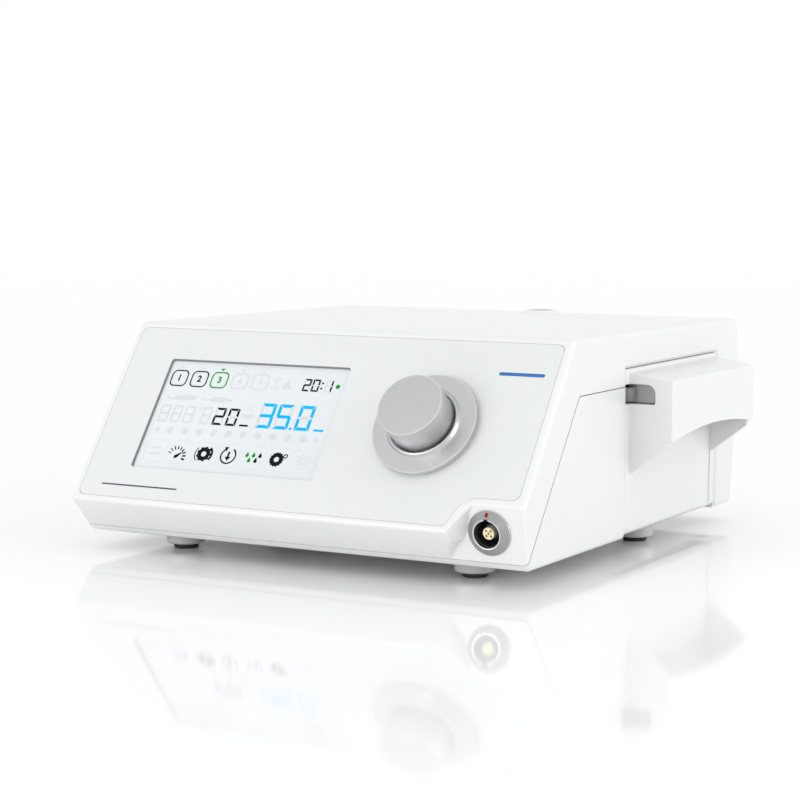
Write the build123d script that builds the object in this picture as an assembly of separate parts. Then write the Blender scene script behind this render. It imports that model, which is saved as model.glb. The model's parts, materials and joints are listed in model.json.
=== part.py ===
from build123d import *
from math import atan2, cos, radians, sin
import os

os.makedirs("parts", exist_ok=True)

# Bench-top control console of a dental micromotor, with a screen, a control knob, a motor
# socket and a hinged lid over the peristaltic pump on its right side.
# Everything is modelled in console coordinates: x = 0 on the centre line of the housing,
# y = 0 at the nose of the front face, z = 0 on the table. save() moves each piece to the
# part's own frame, whose origin is the bottom centre of the whole console.

# ---------------------------------------------------------------- driving dimensions (mm)
BODY_W = 220.0          # widest, at the parting line
BODY_D = 240.0
SEAM_Z = 75.0           # parting line between cover and base, along the sides and back
NOSE_Z = 24.0
TOP_FRONT_Z = 98.6
TOP_FRONT_Y = 54.2
TOP_REAR_Y = 238.0
TOP_REAR_Z = 96.8
FLOOR_Z = 8.2           # underside of the base
CHIN_Y = 14.4           # where the chin meets the underside
REAR_FOOT_Y = 232.0     # where the back meets the underside
TOP_HALF_W = 109.2
BOTTOM_HALF_W = 109.6
WALL = 2.6
EDGE_R = 2.2            # rounding of the side edges
RECESS_RIM_R = 1.2
NOSE_R = 2.0            # edge between the front face and the chin
CORNER_R = 3.0          # rounding of the side profile
SOFT_CORNER_R = 4.0     # same edges on the form that the inner faces are offset from
SOFT_EDGE_R = 3.6
SIDE_BEND_R = 150.0     # soft bend of the sides at the parting line
BACK_BEND_R = 40.0
SEAM_GAP = 0.4
SEAM_SETBACK = 21.0     # slanted parting line, behind the front face
LIP_Z = 11.0            # parting line along the chin
TONGUE_T = 1.2
TONGUE_CLEAR = 0.15
HOOD_X = 130.0          # outermost face of the pump lid
INNER_FLOOR_Z = FLOOR_Z + WALL

# Origin of the part: bottom centre of the box that holds body and lid, with the nose and the
# back at their rounded depths.
MIDDLE_Y = 120.2
SHIFT = ((BODY_W / 2 - HOOD_X) / 2, -MIDDLE_Y, 0)

# ---------------------------------------------------------------- frames of the sloping faces
FACE_TILT = atan2(TOP_FRONT_Y, TOP_FRONT_Z - NOSE_Z)
FACE = Plane(origin=(0, 0, NOSE_Z), x_dir=(1, 0, 0), z_dir=(0, -cos(FACE_TILT), sin(FACE_TILT)))
PAD_TILT = radians(8.8)
PAD_TOP = (8.0, 35.0)   # y, z of the upper edge of the recessed socket pad
PAD_NORMAL = (0, -cos(PAD_TILT), -sin(PAD_TILT))
PAD = Plane(origin=(0, *PAD_TOP), x_dir=(1, 0, 0), z_dir=PAD_NORMAL)
REAR_TILT = atan2(BODY_D - REAR_FOOT_Y, SEAM_Z - FLOOR_Z)
REAR = Plane(
    origin=(0, REAR_FOOT_Y, FLOOR_Z), x_dir=(-1, 0, 0), z_dir=(0, cos(REAR_TILT), -sin(REAR_TILT))
)

# Screen window in the front face, in face coordinates (x across, s up the slope).
LCD = (-84.3, 9.4, 18.0, 73.6)
LCD_MARGIN = 2.2
LCD_DEPTH = 1.3
LCD_T = 2.6
BACKLIGHT_T = 4.2
BOARD_H = -12.5         # rear face of the display board, measured from the front face
BOARD_T = 1.6
OVERLAY_T = 1.2
OVERLAY_CLEAR = 0.15

# Control knob, in face coordinates.
KNOB_X = 55.2
KNOB_S = 46.8
KNOB = Plane(
    origin=FACE.from_local_coords(Vector(KNOB_X, KNOB_S, 0)), x_dir=(1, 0, 0), z_dir=FACE.z_dir
)
SURROUND_R = 23.4
SURROUND_H = 3.7
KNOB_R = 14.3
KNOB_TOP = 18.7
KNOB_BOTTOM = 4.3
SHAFT_R = 3.0
SHAFT_FLAT = 1.5        # distance of the shaft's flats from its axis
RUN_CLEAR = 0.05        # radial clearance of every running fit

# Motor socket on the recessed pad.
SOCKET_X = 93.6
SOCKET_V = -11.6        # below the pad's upper edge, along the pad
SOCKET = Plane(
    origin=PAD.from_local_coords(Vector(SOCKET_X, SOCKET_V, 0)), x_dir=(1, 0, 0), z_dir=PAD_NORMAL
)
SOCKET_R = 9.5
SOCKET_BORE_R = 5.75
SOCKET_PROUD = 3.0
SOCKET_LIP = 1.7        # depth of the bore in the metal ring
BARREL_R = 7.4

# Pump lid on the right side.
LID_Y0 = 106.5
LID_Y1 = 210.5
LID_GAP = 0.3
LID_TOP_Z = 82.3
HOOD_Y = (LID_Y0 + 4.0, LID_Y1 - 3.0)
HOOD_SET_DOWN = 1.8     # hood's top below the top of the lid's plate
CHEEK = 2.8
HOOD_WALL = 2.6
HINGE_X = 103.5
HINGE_Z = 15.0
HINGE = Plane(origin=(HINGE_X, 0, HINGE_Z), x_dir=(0, 0, 1), z_dir=(0, 1, 0))
PIN_R = 1.2
KNUCKLE_R = 3.4
FLOOR_EDGE_X = 97.5     # base floor stops here under the lid, to clear its swing

# Pump.
ROTOR_Y = (LID_Y0 + LID_Y1) / 2
ROTOR_Z = 52.0
PUMP = Plane(origin=(0, ROTOR_Y, ROTOR_Z), x_dir=(0, 1, 0), z_dir=(1, 0, 0))
ROLLER_COUNT = 4
ROLLER_R = 4.5
ROLLER_PITCH_R = 15.5
ROLLER_X = (87.0, 97.0)
ROTOR_X = (84.0, 100.0)
ROTOR_R = 19.0
BAY = (78.0, 104.0, 103.0, 214.0, 24.0, 84.6)
BAY_WALL = 2.0

# Feet.
FEET = [(-73.0, 36.3), (73.0, 36.3), (-94.0, 153.0), (94.0, 153.0)]

# Irrigation pole socket on the rear edge of the top.
POLE_X = 9.5
POLE_Y = 227.0
POLE_R = 4.7
POLE_TOP_Z = 98.4

# Screwed columns that hold cover and base together.
COLUMNS = [(-98.0, 78.0), (98.0, 78.0), (-98.0, 222.5), (98.0, 222.5)]


# ---------------------------------------------------------------- helpers
def block(x, y, z, frame=Plane.XY):
    """Box between two limits on each of the frame's own axes."""
    size = [hi - lo for lo, hi in (x, y, z)]
    middle = [(lo + hi) / 2 for lo, hi in (x, y, z)]
    return frame.location * Pos(*middle) * Box(*size)


def rod(r, span, at=(0, 0), frame=Plane.XY):
    """Cylinder along the frame's normal, between two heights."""
    low, high = span
    return frame.location * Pos(at[0], at[1], (low + high) / 2) * Cylinder(r, high - low)


def tube(r_out, r_in, span, at=(0, 0), frame=Plane.XY):
    return rod(r_out, span, at, frame) - rod(r_in, span, at, frame)


def turned(outline, frame=Plane.XY):
    """Closed outline of (radius, height) points, revolved about the frame's normal."""
    face = Plane.XZ.location * make_face(Polyline(*outline, close=True))
    return frame.location * revolve(face, axis=Axis.Z)


def rounded_block(x, y, z, r, frame=Plane.XY):
    """Block whose edges along the frame's normal are rounded."""
    solid = block(x, y, z)
    return frame.location * fillet(solid.edges().filter_by(Axis.Z), r)


def prism_x(points, radii, x=(-140.0, 140.0)):
    """Prism across the console from an outline of (y, z) points."""
    face = Plane.YZ.location * make_face(FilletPolyline(*points, radius=radii, close=True))
    return Pos(x[0], 0, 0) * extrude(face, amount=x[1] - x[0], dir=(1, 0, 0))


def prism_y(points, y):
    """Prism from front to back from an outline of (x, z) points."""
    face = Plane.XZ.location * make_face(Polyline(*points, close=True))
    return Pos(0, y[0], 0) * extrude(face, amount=y[1] - y[0], dir=(0, 1, 0))


def group(solids):
    return Compound([piece for shape in solids for piece in shape.solids()])


def save(name, shape):
    export_step(Pos(*SHIFT) * shape, f"parts/{name}.step")


# ---------------------------------------------------------------- housing form
def closed_form(nose_r, corner_r, edge_r):
    """The closed housing: side profile crossed with front profile, side edges rounded."""
    profile = [
        (0, NOSE_Z), (TOP_FRONT_Y, TOP_FRONT_Z), (TOP_REAR_Y, TOP_REAR_Z),
        (BODY_D, SEAM_Z), (REAR_FOOT_Y, FLOOR_Z), (CHIN_Y, FLOOR_Z),
    ]
    long_body = prism_x(profile, [nose_r, corner_r, corner_r, BACK_BEND_R, corner_r, corner_r])
    half = BODY_W / 2
    over, under = TOP_FRONT_Z + 12, FLOOR_Z - 13
    front = [
        (-half, SEAM_Z), (-TOP_HALF_W, over), (TOP_HALF_W, over),
        (half, SEAM_Z), (BOTTOM_HALF_W, under), (-BOTTOM_HALF_W, under),
    ]
    outline = FilletPolyline(*front, radius=[SIDE_BEND_R, 1, 1, SIDE_BEND_R, 1, 1], close=True)
    tall_body = extrude(Plane.XZ.location * make_face(outline), amount=BODY_D + 20, dir=(0, 1, 0))
    form = long_body & (Pos(0, -10, 0) * tall_body)
    side_loops = [
        edge for edge in form.edges()
        if abs((edge @ 0.5).X) > 100
        and not (edge.bounding_box().size.Y > 50 and abs((edge @ 0.5).Z - SEAM_Z) < 4)
    ]
    return fillet(side_loops, edge_r)


def pad_outline(grow, lift):
    """Left and upper edge of the socket recess, drawn on a plane lifted off the pad."""
    left = 74.5 - grow
    shoulder = [
        (91.5 - grow * 0.2, 0.3 + grow * 0.15), (86.6 - grow * 0.6, -1.4 + grow * 0.08),
        (84.6 - grow * 0.95, -4.6), (84.0 - grow, -9.2), (82.0 - grow, -15.0), (left, -25.5),
    ]
    right, low = 130.0, -60.0
    edges = [
        Polyline((right, low), (right, shoulder[0][1]), shoulder[0]),
        Spline(*shoulder, tangents=((-1, 0), (-0.55, -1))),
        Polyline(shoulder[-1], (left, low), (right, low)),
    ]
    return PAD.location * Pos(0, 0, lift) * make_face(edges)


def socket_recess(thickness=0.0):
    """Space in front of the pad; with a thickness, the space plus the wall that lines it."""
    flare = 7.0
    depth = 12.0
    return loft(
        [pad_outline(thickness, -thickness), pad_outline(flare + thickness, depth)], ruled=True
    )


def housing_with_recess(form):
    """Cut the recess into the form and round its rim."""
    old_edges = {tuple(round(v, 3) for v in edge @ 0.5) for edge in form.edges()}
    body = form - socket_recess()

    def lies_on_pad(edge):
        return all(abs(PAD.to_local_coords(edge @ t).Z) < 1e-3 for t in (0, 0.5, 1))

    rim = []
    for edge in body.edges():
        middle = edge @ 0.5
        near = middle.X > 60 and middle.Y < 30 and middle.Z < 50
        if not near or tuple(round(v, 3) for v in middle) in old_edges:
            continue
        curved = edge.geom_type == GeomType.BSPLINE
        if curved != lies_on_pad(edge):
            rim.append(edge)
    return fillet(rim, RECESS_RIM_R)


def cover_zone(gap=0.0):
    """Side-view outline of everything that belongs to the upper cover."""
    run = (SEAM_Z - LIP_Z) * sin(FACE_TILT) / cos(FACE_TILT)
    seam_front_y = TOP_FRONT_Y * (SEAM_Z - NOSE_Z) / (TOP_FRONT_Z - NOSE_Z) + SEAM_SETBACK
    far, high = BODY_D + 30, TOP_FRONT_Z + 40
    slant = gap / cos(FACE_TILT)
    points = [
        (-30, LIP_Z - gap), (seam_front_y - run + slant, LIP_Z - gap),
        (seam_front_y + slant, SEAM_Z - gap), (far, SEAM_Z - gap), (far, high), (-30, high),
    ]
    return prism_x(points, [1, 0.6, 3, 1, 1, 1])


def lid_opening():
    """Side opening for the pump lid, with a bevelled lip and the floor cut back below."""
    y = (LID_Y0 - LID_GAP, LID_Y1 + LID_GAP)
    z = (FLOOR_Z - 4, LID_TOP_Z + LID_GAP)
    through = block((99.8, 140), y, z)
    bevel = 1.5
    side = Plane(origin=(BODY_W / 2 - bevel, 0, 0), x_dir=(0, 1, 0), z_dir=(1, 0, 0))
    middle = ((y[0] + y[1]) / 2, (z[0] + z[1]) / 2)
    size = (y[1] - y[0], z[1] - z[0])
    small = side.location * Pos(*middle, 0) * Rectangle(*size)
    large = side.location * Pos(*middle, 2 * bevel) * Rectangle(*[v + 4 * bevel for v in size])
    lip = loft([small, large], ruled=True)
    under = block((FLOOR_EDGE_X, 140), y, (0, HINGE_Z + 8))
    return through + lip + under


def columns(span, r):
    return [rod(r, span, at=at) for at in COLUMNS]


# ---------------------------------------------------------------- housing pieces
def overlay_outline(grow):
    """Outline of the front overlay in face coordinates; it follows the socket recess."""
    left, right, low, high = -106.4 - grow, 106.4 + grow, 2.6 - grow, 89.4 + grow
    shelf = 16.4 - grow
    curve = [(75.0 + grow * 0.5, low), (78.0 + grow, 5.0), (79.6 + grow, 9.2), (82.0 + grow, 12.9),
             (85.6 + grow, 15.4 - grow * 0.5), (90.5 + grow * 0.5, shelf)]
    r = 3.5
    edges = [
        FilletPolyline(curve[-1], (right, shelf), (right, high), (left, high), (left, low),
                       curve[0], radius=r),
        Spline(*curve, tangents=((1, 0), (1, 0))),
    ]
    return make_face(edges)


def overlay_space(grow, depth):
    return FACE.location * Pos(0, 0, -depth) * extrude(overlay_outline(grow), amount=depth + 0.02)


def lcd_space(grow, h):
    x0, x1, s0, s1 = LCD
    return rounded_block((x0 - grow, x1 + grow), (s0 - grow, s1 + grow), h, 1.5, FACE)


DISPLAY_POSTS = [(-95.5, 15.5), (-95.5, 76.5), (73.0, 30.0), (73.0, 76.5)]


def upper_cover(shell):
    cover = shell & cover_zone()
    cover -= overlay_space(OVERLAY_CLEAR, OVERLAY_T)
    cover -= lcd_space(LCD_MARGIN + 0.2, (-8, 1))
    cover -= rod(3.7, (-8, 3), frame=KNOB)
    cover -= rod(BARREL_R + 0.1, (-8, 3), frame=SOCKET)
    for at in DISPLAY_POSTS:
        cover += tube(3.2, 1.1, (BOARD_H + BOARD_T, -WALL + 0.3), at, FACE)
    column_top = TOP_FRONT_Z - WALL + 0.5
    for boss in columns((SEAM_Z + 0.2, column_top), 4.5):
        cover += boss
    for hole in columns((SEAM_Z, column_top - 4), 1.7):
        cover -= hole
    top_z = TOP_REAR_Z - 1.0
    cover += rod(8.0, (64, top_z), at=(POLE_X, POLE_Y))
    mound = turned([(0, top_z), (11.0, top_z), (10.2, 97.0), (6.9, POLE_TOP_Z), (0, POLE_TOP_Z)])
    cover += Pos(POLE_X, POLE_Y, 0) * mound
    cover -= rod(6.05, (66, 110), at=(POLE_X, POLE_Y))
    return cover - lid_opening()


def base_tongue(soft_form):
    """Thin inner rim that stands up from the base behind the parting line."""
    inner = offset(soft_form, amount=-WALL, kind=Kind.INTERSECTION)
    clear = offset(soft_form, amount=-WALL - TONGUE_CLEAR, kind=Kind.INTERSECTION)
    core = offset(soft_form, amount=-WALL - TONGUE_T - TONGUE_CLEAR, kind=Kind.INTERSECTION)
    y = (66, BODY_D)
    root = (inner - core) & block((-120, 120), y, (SEAM_Z - 5, SEAM_Z - SEAM_GAP))
    tip = (clear - core) & block((-120, 120), y, (SEAM_Z - SEAM_GAP, SEAM_Z + 2.5))
    return root + tip


PANEL_U = (-63.0, 88.0)
PANEL_V = (6.0, 54.0)
PANEL_LAP = 7.0
PANEL_W = (-WALL - 2.1, -WALL - 0.1)
PANEL_SCREWS = [(u, v) for u in (PANEL_U[0] + 3.5, PANEL_U[1] - 3.5) for v in (15.0, 45.0)]


def panel_window():
    u = (PANEL_U[0] + PANEL_LAP, PANEL_U[1] - PANEL_LAP)
    v = (PANEL_V[0] + 5, PANEL_V[1] - 5)
    return rounded_block(u, v, (-WALL - 3, 4), 2.0, REAR)


BOARD_POSTS = [(-86.0, 72.0), (-46.0, 72.0), (-86.0, 129.0), (-46.0, 129.0),
               (-25.0, 72.0), (70.0, 72.0), (-25.0, 195.0), (70.0, 195.0)]
BOARD_Z = 18.0


def base_tray(shell, soft_form):
    zone = prism_x([(-30, -30), (-30, 140), (270, 140), (270, -30)], [1, 1, 1, 1])
    tray = shell & (zone - cover_zone(SEAM_GAP))
    tray += base_tongue(soft_form)
    for column in columns((INNER_FLOOR_Z - 0.5, SEAM_Z - 0.2), 5.0):
        tray += column
    for hole in columns((INNER_FLOOR_Z, SEAM_Z + 1), 1.95):
        tray -= hole
    for head_well in columns((0, 60), 3.7):
        tray -= head_well
    for x, y in FEET:
        tray += rod(2.6, (INNER_FLOOR_Z - 0.5, 16), at=(x, y))
        tray -= rod(1.3, (0, 15), at=(x, y))
    for at in BOARD_POSTS:
        tray -= rod(1.3, (INNER_FLOOR_Z - 1.8, INNER_FLOOR_Z + 1), at=at)
    tray -= panel_window()
    for at in PANEL_SCREWS:
        tray -= rod(1.7, (-WALL - 1, 1), at, REAR)
    for row in range(6):
        tray -= rounded_block((-60, -20), (88 + 9 * row, 92 + 9 * row), (0, INNER_FLOOR_Z + 1), 1.8)
    tray -= lid_opening()
    for y in ((LID_Y0 - 5.4, LID_Y0 - 0.8), (LID_Y1 + 0.8, LID_Y1 + 5.4)):
        tray += block((HINGE_X - 4.2, 106.2), y, (INNER_FLOOR_Z - 0.5, HINGE_Z + 4))
    return tray - rod(PIN_R + 0.02, (LID_Y0 - 4.6, LID_Y1 + 4.6), frame=HINGE)


def front_overlay():
    plate = FACE.location * Pos(0, 0, -OVERLAY_T) * extrude(overlay_outline(0), amount=OVERLAY_T)
    plate -= lcd_space(0, (-4, 1))
    return plate - rod(3.7, (-4, 1), frame=KNOB)


def lcd_panel():
    return lcd_space(LCD_MARGIN, (-LCD_DEPTH - LCD_T, -LCD_DEPTH))


def lcd_backlight():
    return lcd_space(LCD_MARGIN, (-LCD_DEPTH - LCD_T - BACKLIGHT_T, -LCD_DEPTH - LCD_T))


def lcd_frame():
    """Pressed-steel frame that holds screen and backlight on the display board."""
    h = (BOARD_H + BOARD_T, -WALL - 0.1)
    frame = lcd_space(LCD_MARGIN + 1.4, h)
    return frame - lcd_space(LCD_MARGIN + 0.2, (-LCD_DEPTH - LCD_T - BACKLIGHT_T, 1))


def display_pcb():
    board = block((-99, 78), (12, 80), (BOARD_H, BOARD_H + BOARD_T), FACE)
    for at in DISPLAY_POSTS:
        board -= rod(1.6, (BOARD_H - 1, 0), at, FACE)
    header = block((18, 42), (24, 30), (BOARD_H - 6, BOARD_H), FACE)
    return board + header


def screw(head_r, head_h, shank_r, length, frame, at=(0, 0), w=0.0):
    """Cross-head screw with its head above height w and its shank below, along the normal."""
    body = rod(shank_r, (w - length, w), at, frame)
    head = turned([(0, 0), (head_r, 0), (head_r, head_h * 0.6), (head_r * 0.8, head_h), (0, head_h)])
    body += frame.location * Pos(at[0], at[1], w) * head
    across = head_r * 0.9
    slot = frame.location * Pos(at[0], at[1], w + head_h)
    body -= slot * Box(across, head_r * 0.25, head_h)
    return body - slot * Box(head_r * 0.25, across, head_h)


def display_screws():
    back = Plane(origin=FACE.origin, x_dir=(-1, 0, 0), z_dir=-FACE.z_dir)
    return group([screw(2.6, 1.6, 1.05, 8, back, (-x, s), -BOARD_H) for x, s in DISPLAY_POSTS])


# ---------------------------------------------------------------- knob and encoder
ENCODER_FRONT = -4.4
BUSHING_TOP = 4.0


def encoder_body():
    board_front = BOARD_H + BOARD_T
    case = rounded_block((-6.5, 6.5), (-6.5, 6.5), (board_front, ENCODER_FRONT), 0.8, KNOB)
    case += rod(3.5, (ENCODER_FRONT, BUSHING_TOP), frame=KNOB)
    case -= rod(5.4, (board_front + 0.6, ENCODER_FRONT - 0.6), frame=KNOB)
    return case - rod(SHAFT_R + RUN_CLEAR, (ENCODER_FRONT - 1, BUSHING_TOP + 1), frame=KNOB)


def encoder_nut():
    nut = KNOB.location * extrude(RegularPolygon(5.5, 6, major_radius=False), amount=2.2)
    return nut - rod(3.55, (-1, 3), frame=KNOB)


def encoder_rotor():
    """Code wheel that the flatted shaft turns and slides through."""
    wheel = rod(5.0, (-9.2, -5.6), frame=KNOB)
    return wheel - (rod(SHAFT_R + RUN_CLEAR, (-12, 0), frame=KNOB) & shaft_flat(RUN_CLEAR))


def shaft_flat(clear):
    """Everything on the round side of the shaft's flat."""
    return block((-10, 10), (-10, SHAFT_FLAT + clear), (-14, 40), KNOB)


def encoder_shaft():
    shaft = rod(SHAFT_R, (-9.4, 16), frame=KNOB)
    low_flat = block((-10, 10), (SHAFT_FLAT, 10), (-14, -4.8), KNOB)
    high_flat = block((-10, 10), (SHAFT_FLAT, 10), (8, 20), KNOB)
    return shaft - low_flat - high_flat


SET_SCREW_H = 11.0


def set_screw_axis():
    """Frame at the shaft, its normal pointing up the slope, square to the shaft's flat."""
    origin = KNOB.from_local_coords(Vector(0, 0, SET_SCREW_H))
    return Plane(origin=origin, x_dir=(1, 0, 0), z_dir=FACE.y_dir)


def knob_cap():
    """Hollow turned knob with a boss for the shaft and a hole for its set screw."""
    base_r = KNOB_R - 0.35
    outline = [
        (0, KNOB_TOP), (KNOB_R - 1.0, KNOB_TOP), (KNOB_R - 0.3, KNOB_TOP - 0.3),
        (KNOB_R, KNOB_TOP - 1.0), (base_r, KNOB_BOTTOM), (base_r - 1.8, KNOB_BOTTOM),
        (base_r - 1.8, KNOB_TOP - 2.4), (6.5, KNOB_TOP - 2.4), (6.5, 6.2), (0, 6.2),
    ]
    cap = turned(outline, KNOB)
    cap -= rod(SHAFT_R + 0.02, (0, 16.2), frame=KNOB) & shaft_upper_round()
    return cap - rod(1.5, (1.0, KNOB_R + 1), frame=set_screw_axis())


def shaft_upper_round():
    keep = block((-10, 10), (-10, SHAFT_FLAT + 0.02), (8, 20), KNOB)
    return keep + rod(SHAFT_R + 0.02, (0, 8), frame=KNOB)


def knob_set_screw():
    grub = rod(1.45, (SHAFT_FLAT + 0.05, 6.4), frame=set_screw_axis())
    hexagon = extrude(RegularPolygon(0.75, 6, major_radius=False), amount=2.0)
    return grub - set_screw_axis().location * Pos(0, 0, 4.8) * hexagon


def knob_surround():
    """Turned aluminium disc with a raised bead around the knob and an undercut edge."""
    outline = [
        (7.0, 0.0), (SURROUND_R - 1.4, 0.0), (SURROUND_R - 1.4, 1.1), (SURROUND_R, 1.7),
        (SURROUND_R, SURROUND_H - 0.5), (SURROUND_R - 0.5, SURROUND_H), (17.6, SURROUND_H),
        (16.5, SURROUND_H + 0.3), (16.0, SURROUND_H + 1.0), (15.7, SURROUND_H + 1.5),
        (15.1, SURROUND_H + 1.7), (14.5, SURROUND_H + 1.3), (14.5, 3.0), (7.0, 3.0),
    ]
    return turned(outline, KNOB)


# ---------------------------------------------------------------- motor socket
INSERT_R = 2.5
SOCKET_STEP = SOCKET_PROUD - SOCKET_LIP
INSERT_FACE = SOCKET_STEP - 0.2
SHELL_R = 6.4
SHELL_FACE = SOCKET_STEP - 0.1
CONTACT_RING_R = 1.5
CONTACTS = [(0.0, 0.0)] + [
    (CONTACT_RING_R * cos(radians(a)), CONTACT_RING_R * sin(radians(a))) for a in (45, 135, 225, 315)
]


def motor_socket_ring():
    outline = [
        (SOCKET_BORE_R, SOCKET_PROUD), (6.3, SOCKET_PROUD), (9.1, 1.0), (SOCKET_R, 0.6),
        (SOCKET_R, 0.0), (BARREL_R, 0.0), (BARREL_R, -10.0), (SHELL_R + 0.05, -10.0),
        (SHELL_R + 0.05, SOCKET_STEP), (SOCKET_BORE_R, SOCKET_STEP),
    ]
    return turned(outline, SOCKET)


def motor_socket_shell():
    """Black insulator: a cup around the contact insert."""
    cup = rod(SHELL_R, (-12.0, SHELL_FACE), frame=SOCKET)
    cup -= rod(5.4, (-2.0, SHELL_FACE + 1), frame=SOCKET)
    cup -= tube(5.4, INSERT_R + 0.6, (-9.0, -1.9), frame=SOCKET)
    return cup - rod(INSERT_R + 0.02, (-13, SHELL_FACE + 1), frame=SOCKET)


def motor_socket_insert():
    insert = rod(INSERT_R, (-12.5, INSERT_FACE), frame=SOCKET)
    for at in CONTACTS:
        insert -= rod(0.42, (-13, INSERT_FACE + 1), at, SOCKET)
    return insert


def motor_socket_contacts():
    return group([rod(0.38, (-15.0, INSERT_FACE - 0.5), at, SOCKET) for at in CONTACTS])


def motor_socket_nut():
    nut = SOCKET.location * Pos(0, 0, -WALL - 3.1) * extrude(
        RegularPolygon(9.2, 6, major_radius=False), amount=3.0)
    return nut - rod(BARREL_R + 0.05, (-8, 0), frame=SOCKET)


# ---------------------------------------------------------------- pump lid and hinge
HOOD_LOW_Z = 51.3
HOOD_TOP_Z = 77.6
POCKET_TOP_Z = 64.0
CHAMBER_Z = 66.3
STRIP_STEP = 0.6
STRIP_LOW_X = 109.2
STRIP_HIGH_X = 109.6
STRIP_TOP_Z = 36.0
PLATE_HIGH_X = 109.8
STRIP_LOW_Z = 12.9
TOE_R = 4.0             # rounding of the lid's lower edge
PLATE_EDGE_R = 1.4
HOOD_EDGE_R = 1.0
LID_INNER_X = 105.5


def lid_plate():
    """Flat plate of the lid, flush with the side, its outer edges rounded."""
    outline = [
        (LID_INNER_X, HINGE_Z), (STRIP_LOW_X, STRIP_LOW_Z), (STRIP_HIGH_X, STRIP_TOP_Z),
        (PLATE_HIGH_X, SEAM_Z), (PLATE_HIGH_X - 0.1, LID_TOP_Z), (LID_INNER_X, LID_TOP_Z),
    ]
    plate = prism_y(outline, (LID_Y0, LID_Y1))
    rim = [
        edge for edge in plate.edges()
        if (edge @ 0.5).X > STRIP_LOW_X and (edge @ 0.5).Z > STRIP_TOP_Z / 2
        and not (edge.bounding_box().size.Y > 50 and (edge @ 0.5).Z < LID_TOP_Z - 1)
    ]
    return fillet(rim, PLATE_EDGE_R)


def hood():
    """Solid hood that stands on the plate, seen from the front as a wedge with a cut top."""
    top = LID_TOP_Z - HOOD_SET_DOWN
    outline = [
        (LID_INNER_X + 1, STRIP_TOP_Z - 2), (STRIP_HIGH_X, STRIP_TOP_Z), (HOOD_X, HOOD_LOW_Z),
        (HOOD_X, HOOD_TOP_Z), (BODY_W / 2, top), (LID_INNER_X + 1, top),
    ]
    solid = prism_y(outline, HOOD_Y)
    outside = [
        edge for edge in solid.edges()
        if (edge @ 0.5).X > BODY_W / 2 and edge.bounding_box().size.length > 3
    ]
    return fillet(outside, HOOD_EDGE_R)


def finger_pocket():
    """Hollow under the hood, open below and between the cheeks, with a rounded ceiling."""
    inner_x = HOOD_X - HOOD_WALL
    wall_x = STRIP_HIGH_X - STRIP_STEP
    r = 5.0
    outline = FilletPolyline(
        (STRIP_LOW_X - STRIP_STEP, FLOOR_Z - 2), (wall_x, STRIP_TOP_Z), (wall_x, POCKET_TOP_Z),
        (inner_x, POCKET_TOP_Z), (inner_x, FLOOR_Z - 2), radius=[3, r, r, 0.5, 0.5], close=True)
    face = Plane.XZ.location * make_face(outline)
    length = HOOD_Y[1] - HOOD_Y[0] - 2 * CHEEK
    return Pos(0, HOOD_Y[0] + CHEEK, 0) * extrude(face, amount=length, dir=(0, 1, 0))


def hood_arch():
    """Shallow arch along the lower edge of the hood's outer face."""
    rise = 4.2
    y0, y1 = HOOD_Y[0] - 0.5, HOOD_Y[1] + 0.5
    low = HOOD_LOW_Z - 8
    edges = [
        ThreePointArc((y0, HOOD_LOW_Z), (ROTOR_Y, HOOD_LOW_Z + rise), (y1, HOOD_LOW_Z)),
        Polyline((y1, HOOD_LOW_Z), (y1, low), (y0, low), (y0, HOOD_LOW_Z)),
    ]
    face = Plane.YZ.location * make_face(edges)
    return Pos(HOOD_X - HOOD_WALL, 0, 0) * extrude(face, amount=HOOD_WALL + 2, dir=(1, 0, 0))


def hood_chamber():
    """Space inside the hood for the pump tube, open towards the pump."""
    inner_x = HOOD_X - HOOD_WALL
    top = LID_TOP_Z - HOOD_SET_DOWN - 2.2
    points = [
        (96, CHAMBER_Z), (inner_x, CHAMBER_Z), (inner_x, HOOD_TOP_Z - 2.1), (BODY_W / 2, top),
        (96, top),
    ]
    return prism_y(points, (HOOD_Y[0] + CHEEK, HOOD_Y[1] - CHEEK))


def tube_notch():
    """Slot through both cheeks where the tube enters and leaves."""
    r = 4.0
    outline = FilletPolyline((96, 67.0), (121.5, 67.0), (121.5, 75.7), (96, 75.7),
                             radius=[0.5, 1.0, r, 0.5], close=True)
    face = Plane.XZ.location * make_face(outline)
    return Pos(0, LID_Y0 - 2, 0) * extrude(face, amount=LID_Y1 - LID_Y0 + 4, dir=(0, 1, 0))


def pump_lid():
    length = (LID_Y0, LID_Y1)
    lid = lid_plate() + hood()
    toe_at = (STRIP_LOW_Z - HINGE_Z, STRIP_LOW_X - TOE_R - HINGE_X)
    toe = rod(TOE_R, length, at=toe_at, frame=HINGE)
    toe += rod(KNUCKLE_R, length, frame=HINGE)
    lid += toe
    lid -= finger_pocket()
    lid += toe & block((90, STRIP_LOW_X - STRIP_STEP), length, (0, 40))
    lid -= hood_arch()
    lid -= hood_chamber()
    lid -= tube_notch()
    return lid - rod(PIN_R + RUN_CLEAR, (LID_Y0 - 1, LID_Y1 + 1), frame=HINGE)


def lid_hinge_pin():
    return rod(PIN_R, (LID_Y0 - 4.4, LID_Y1 + 4.4), frame=HINGE)


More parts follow.
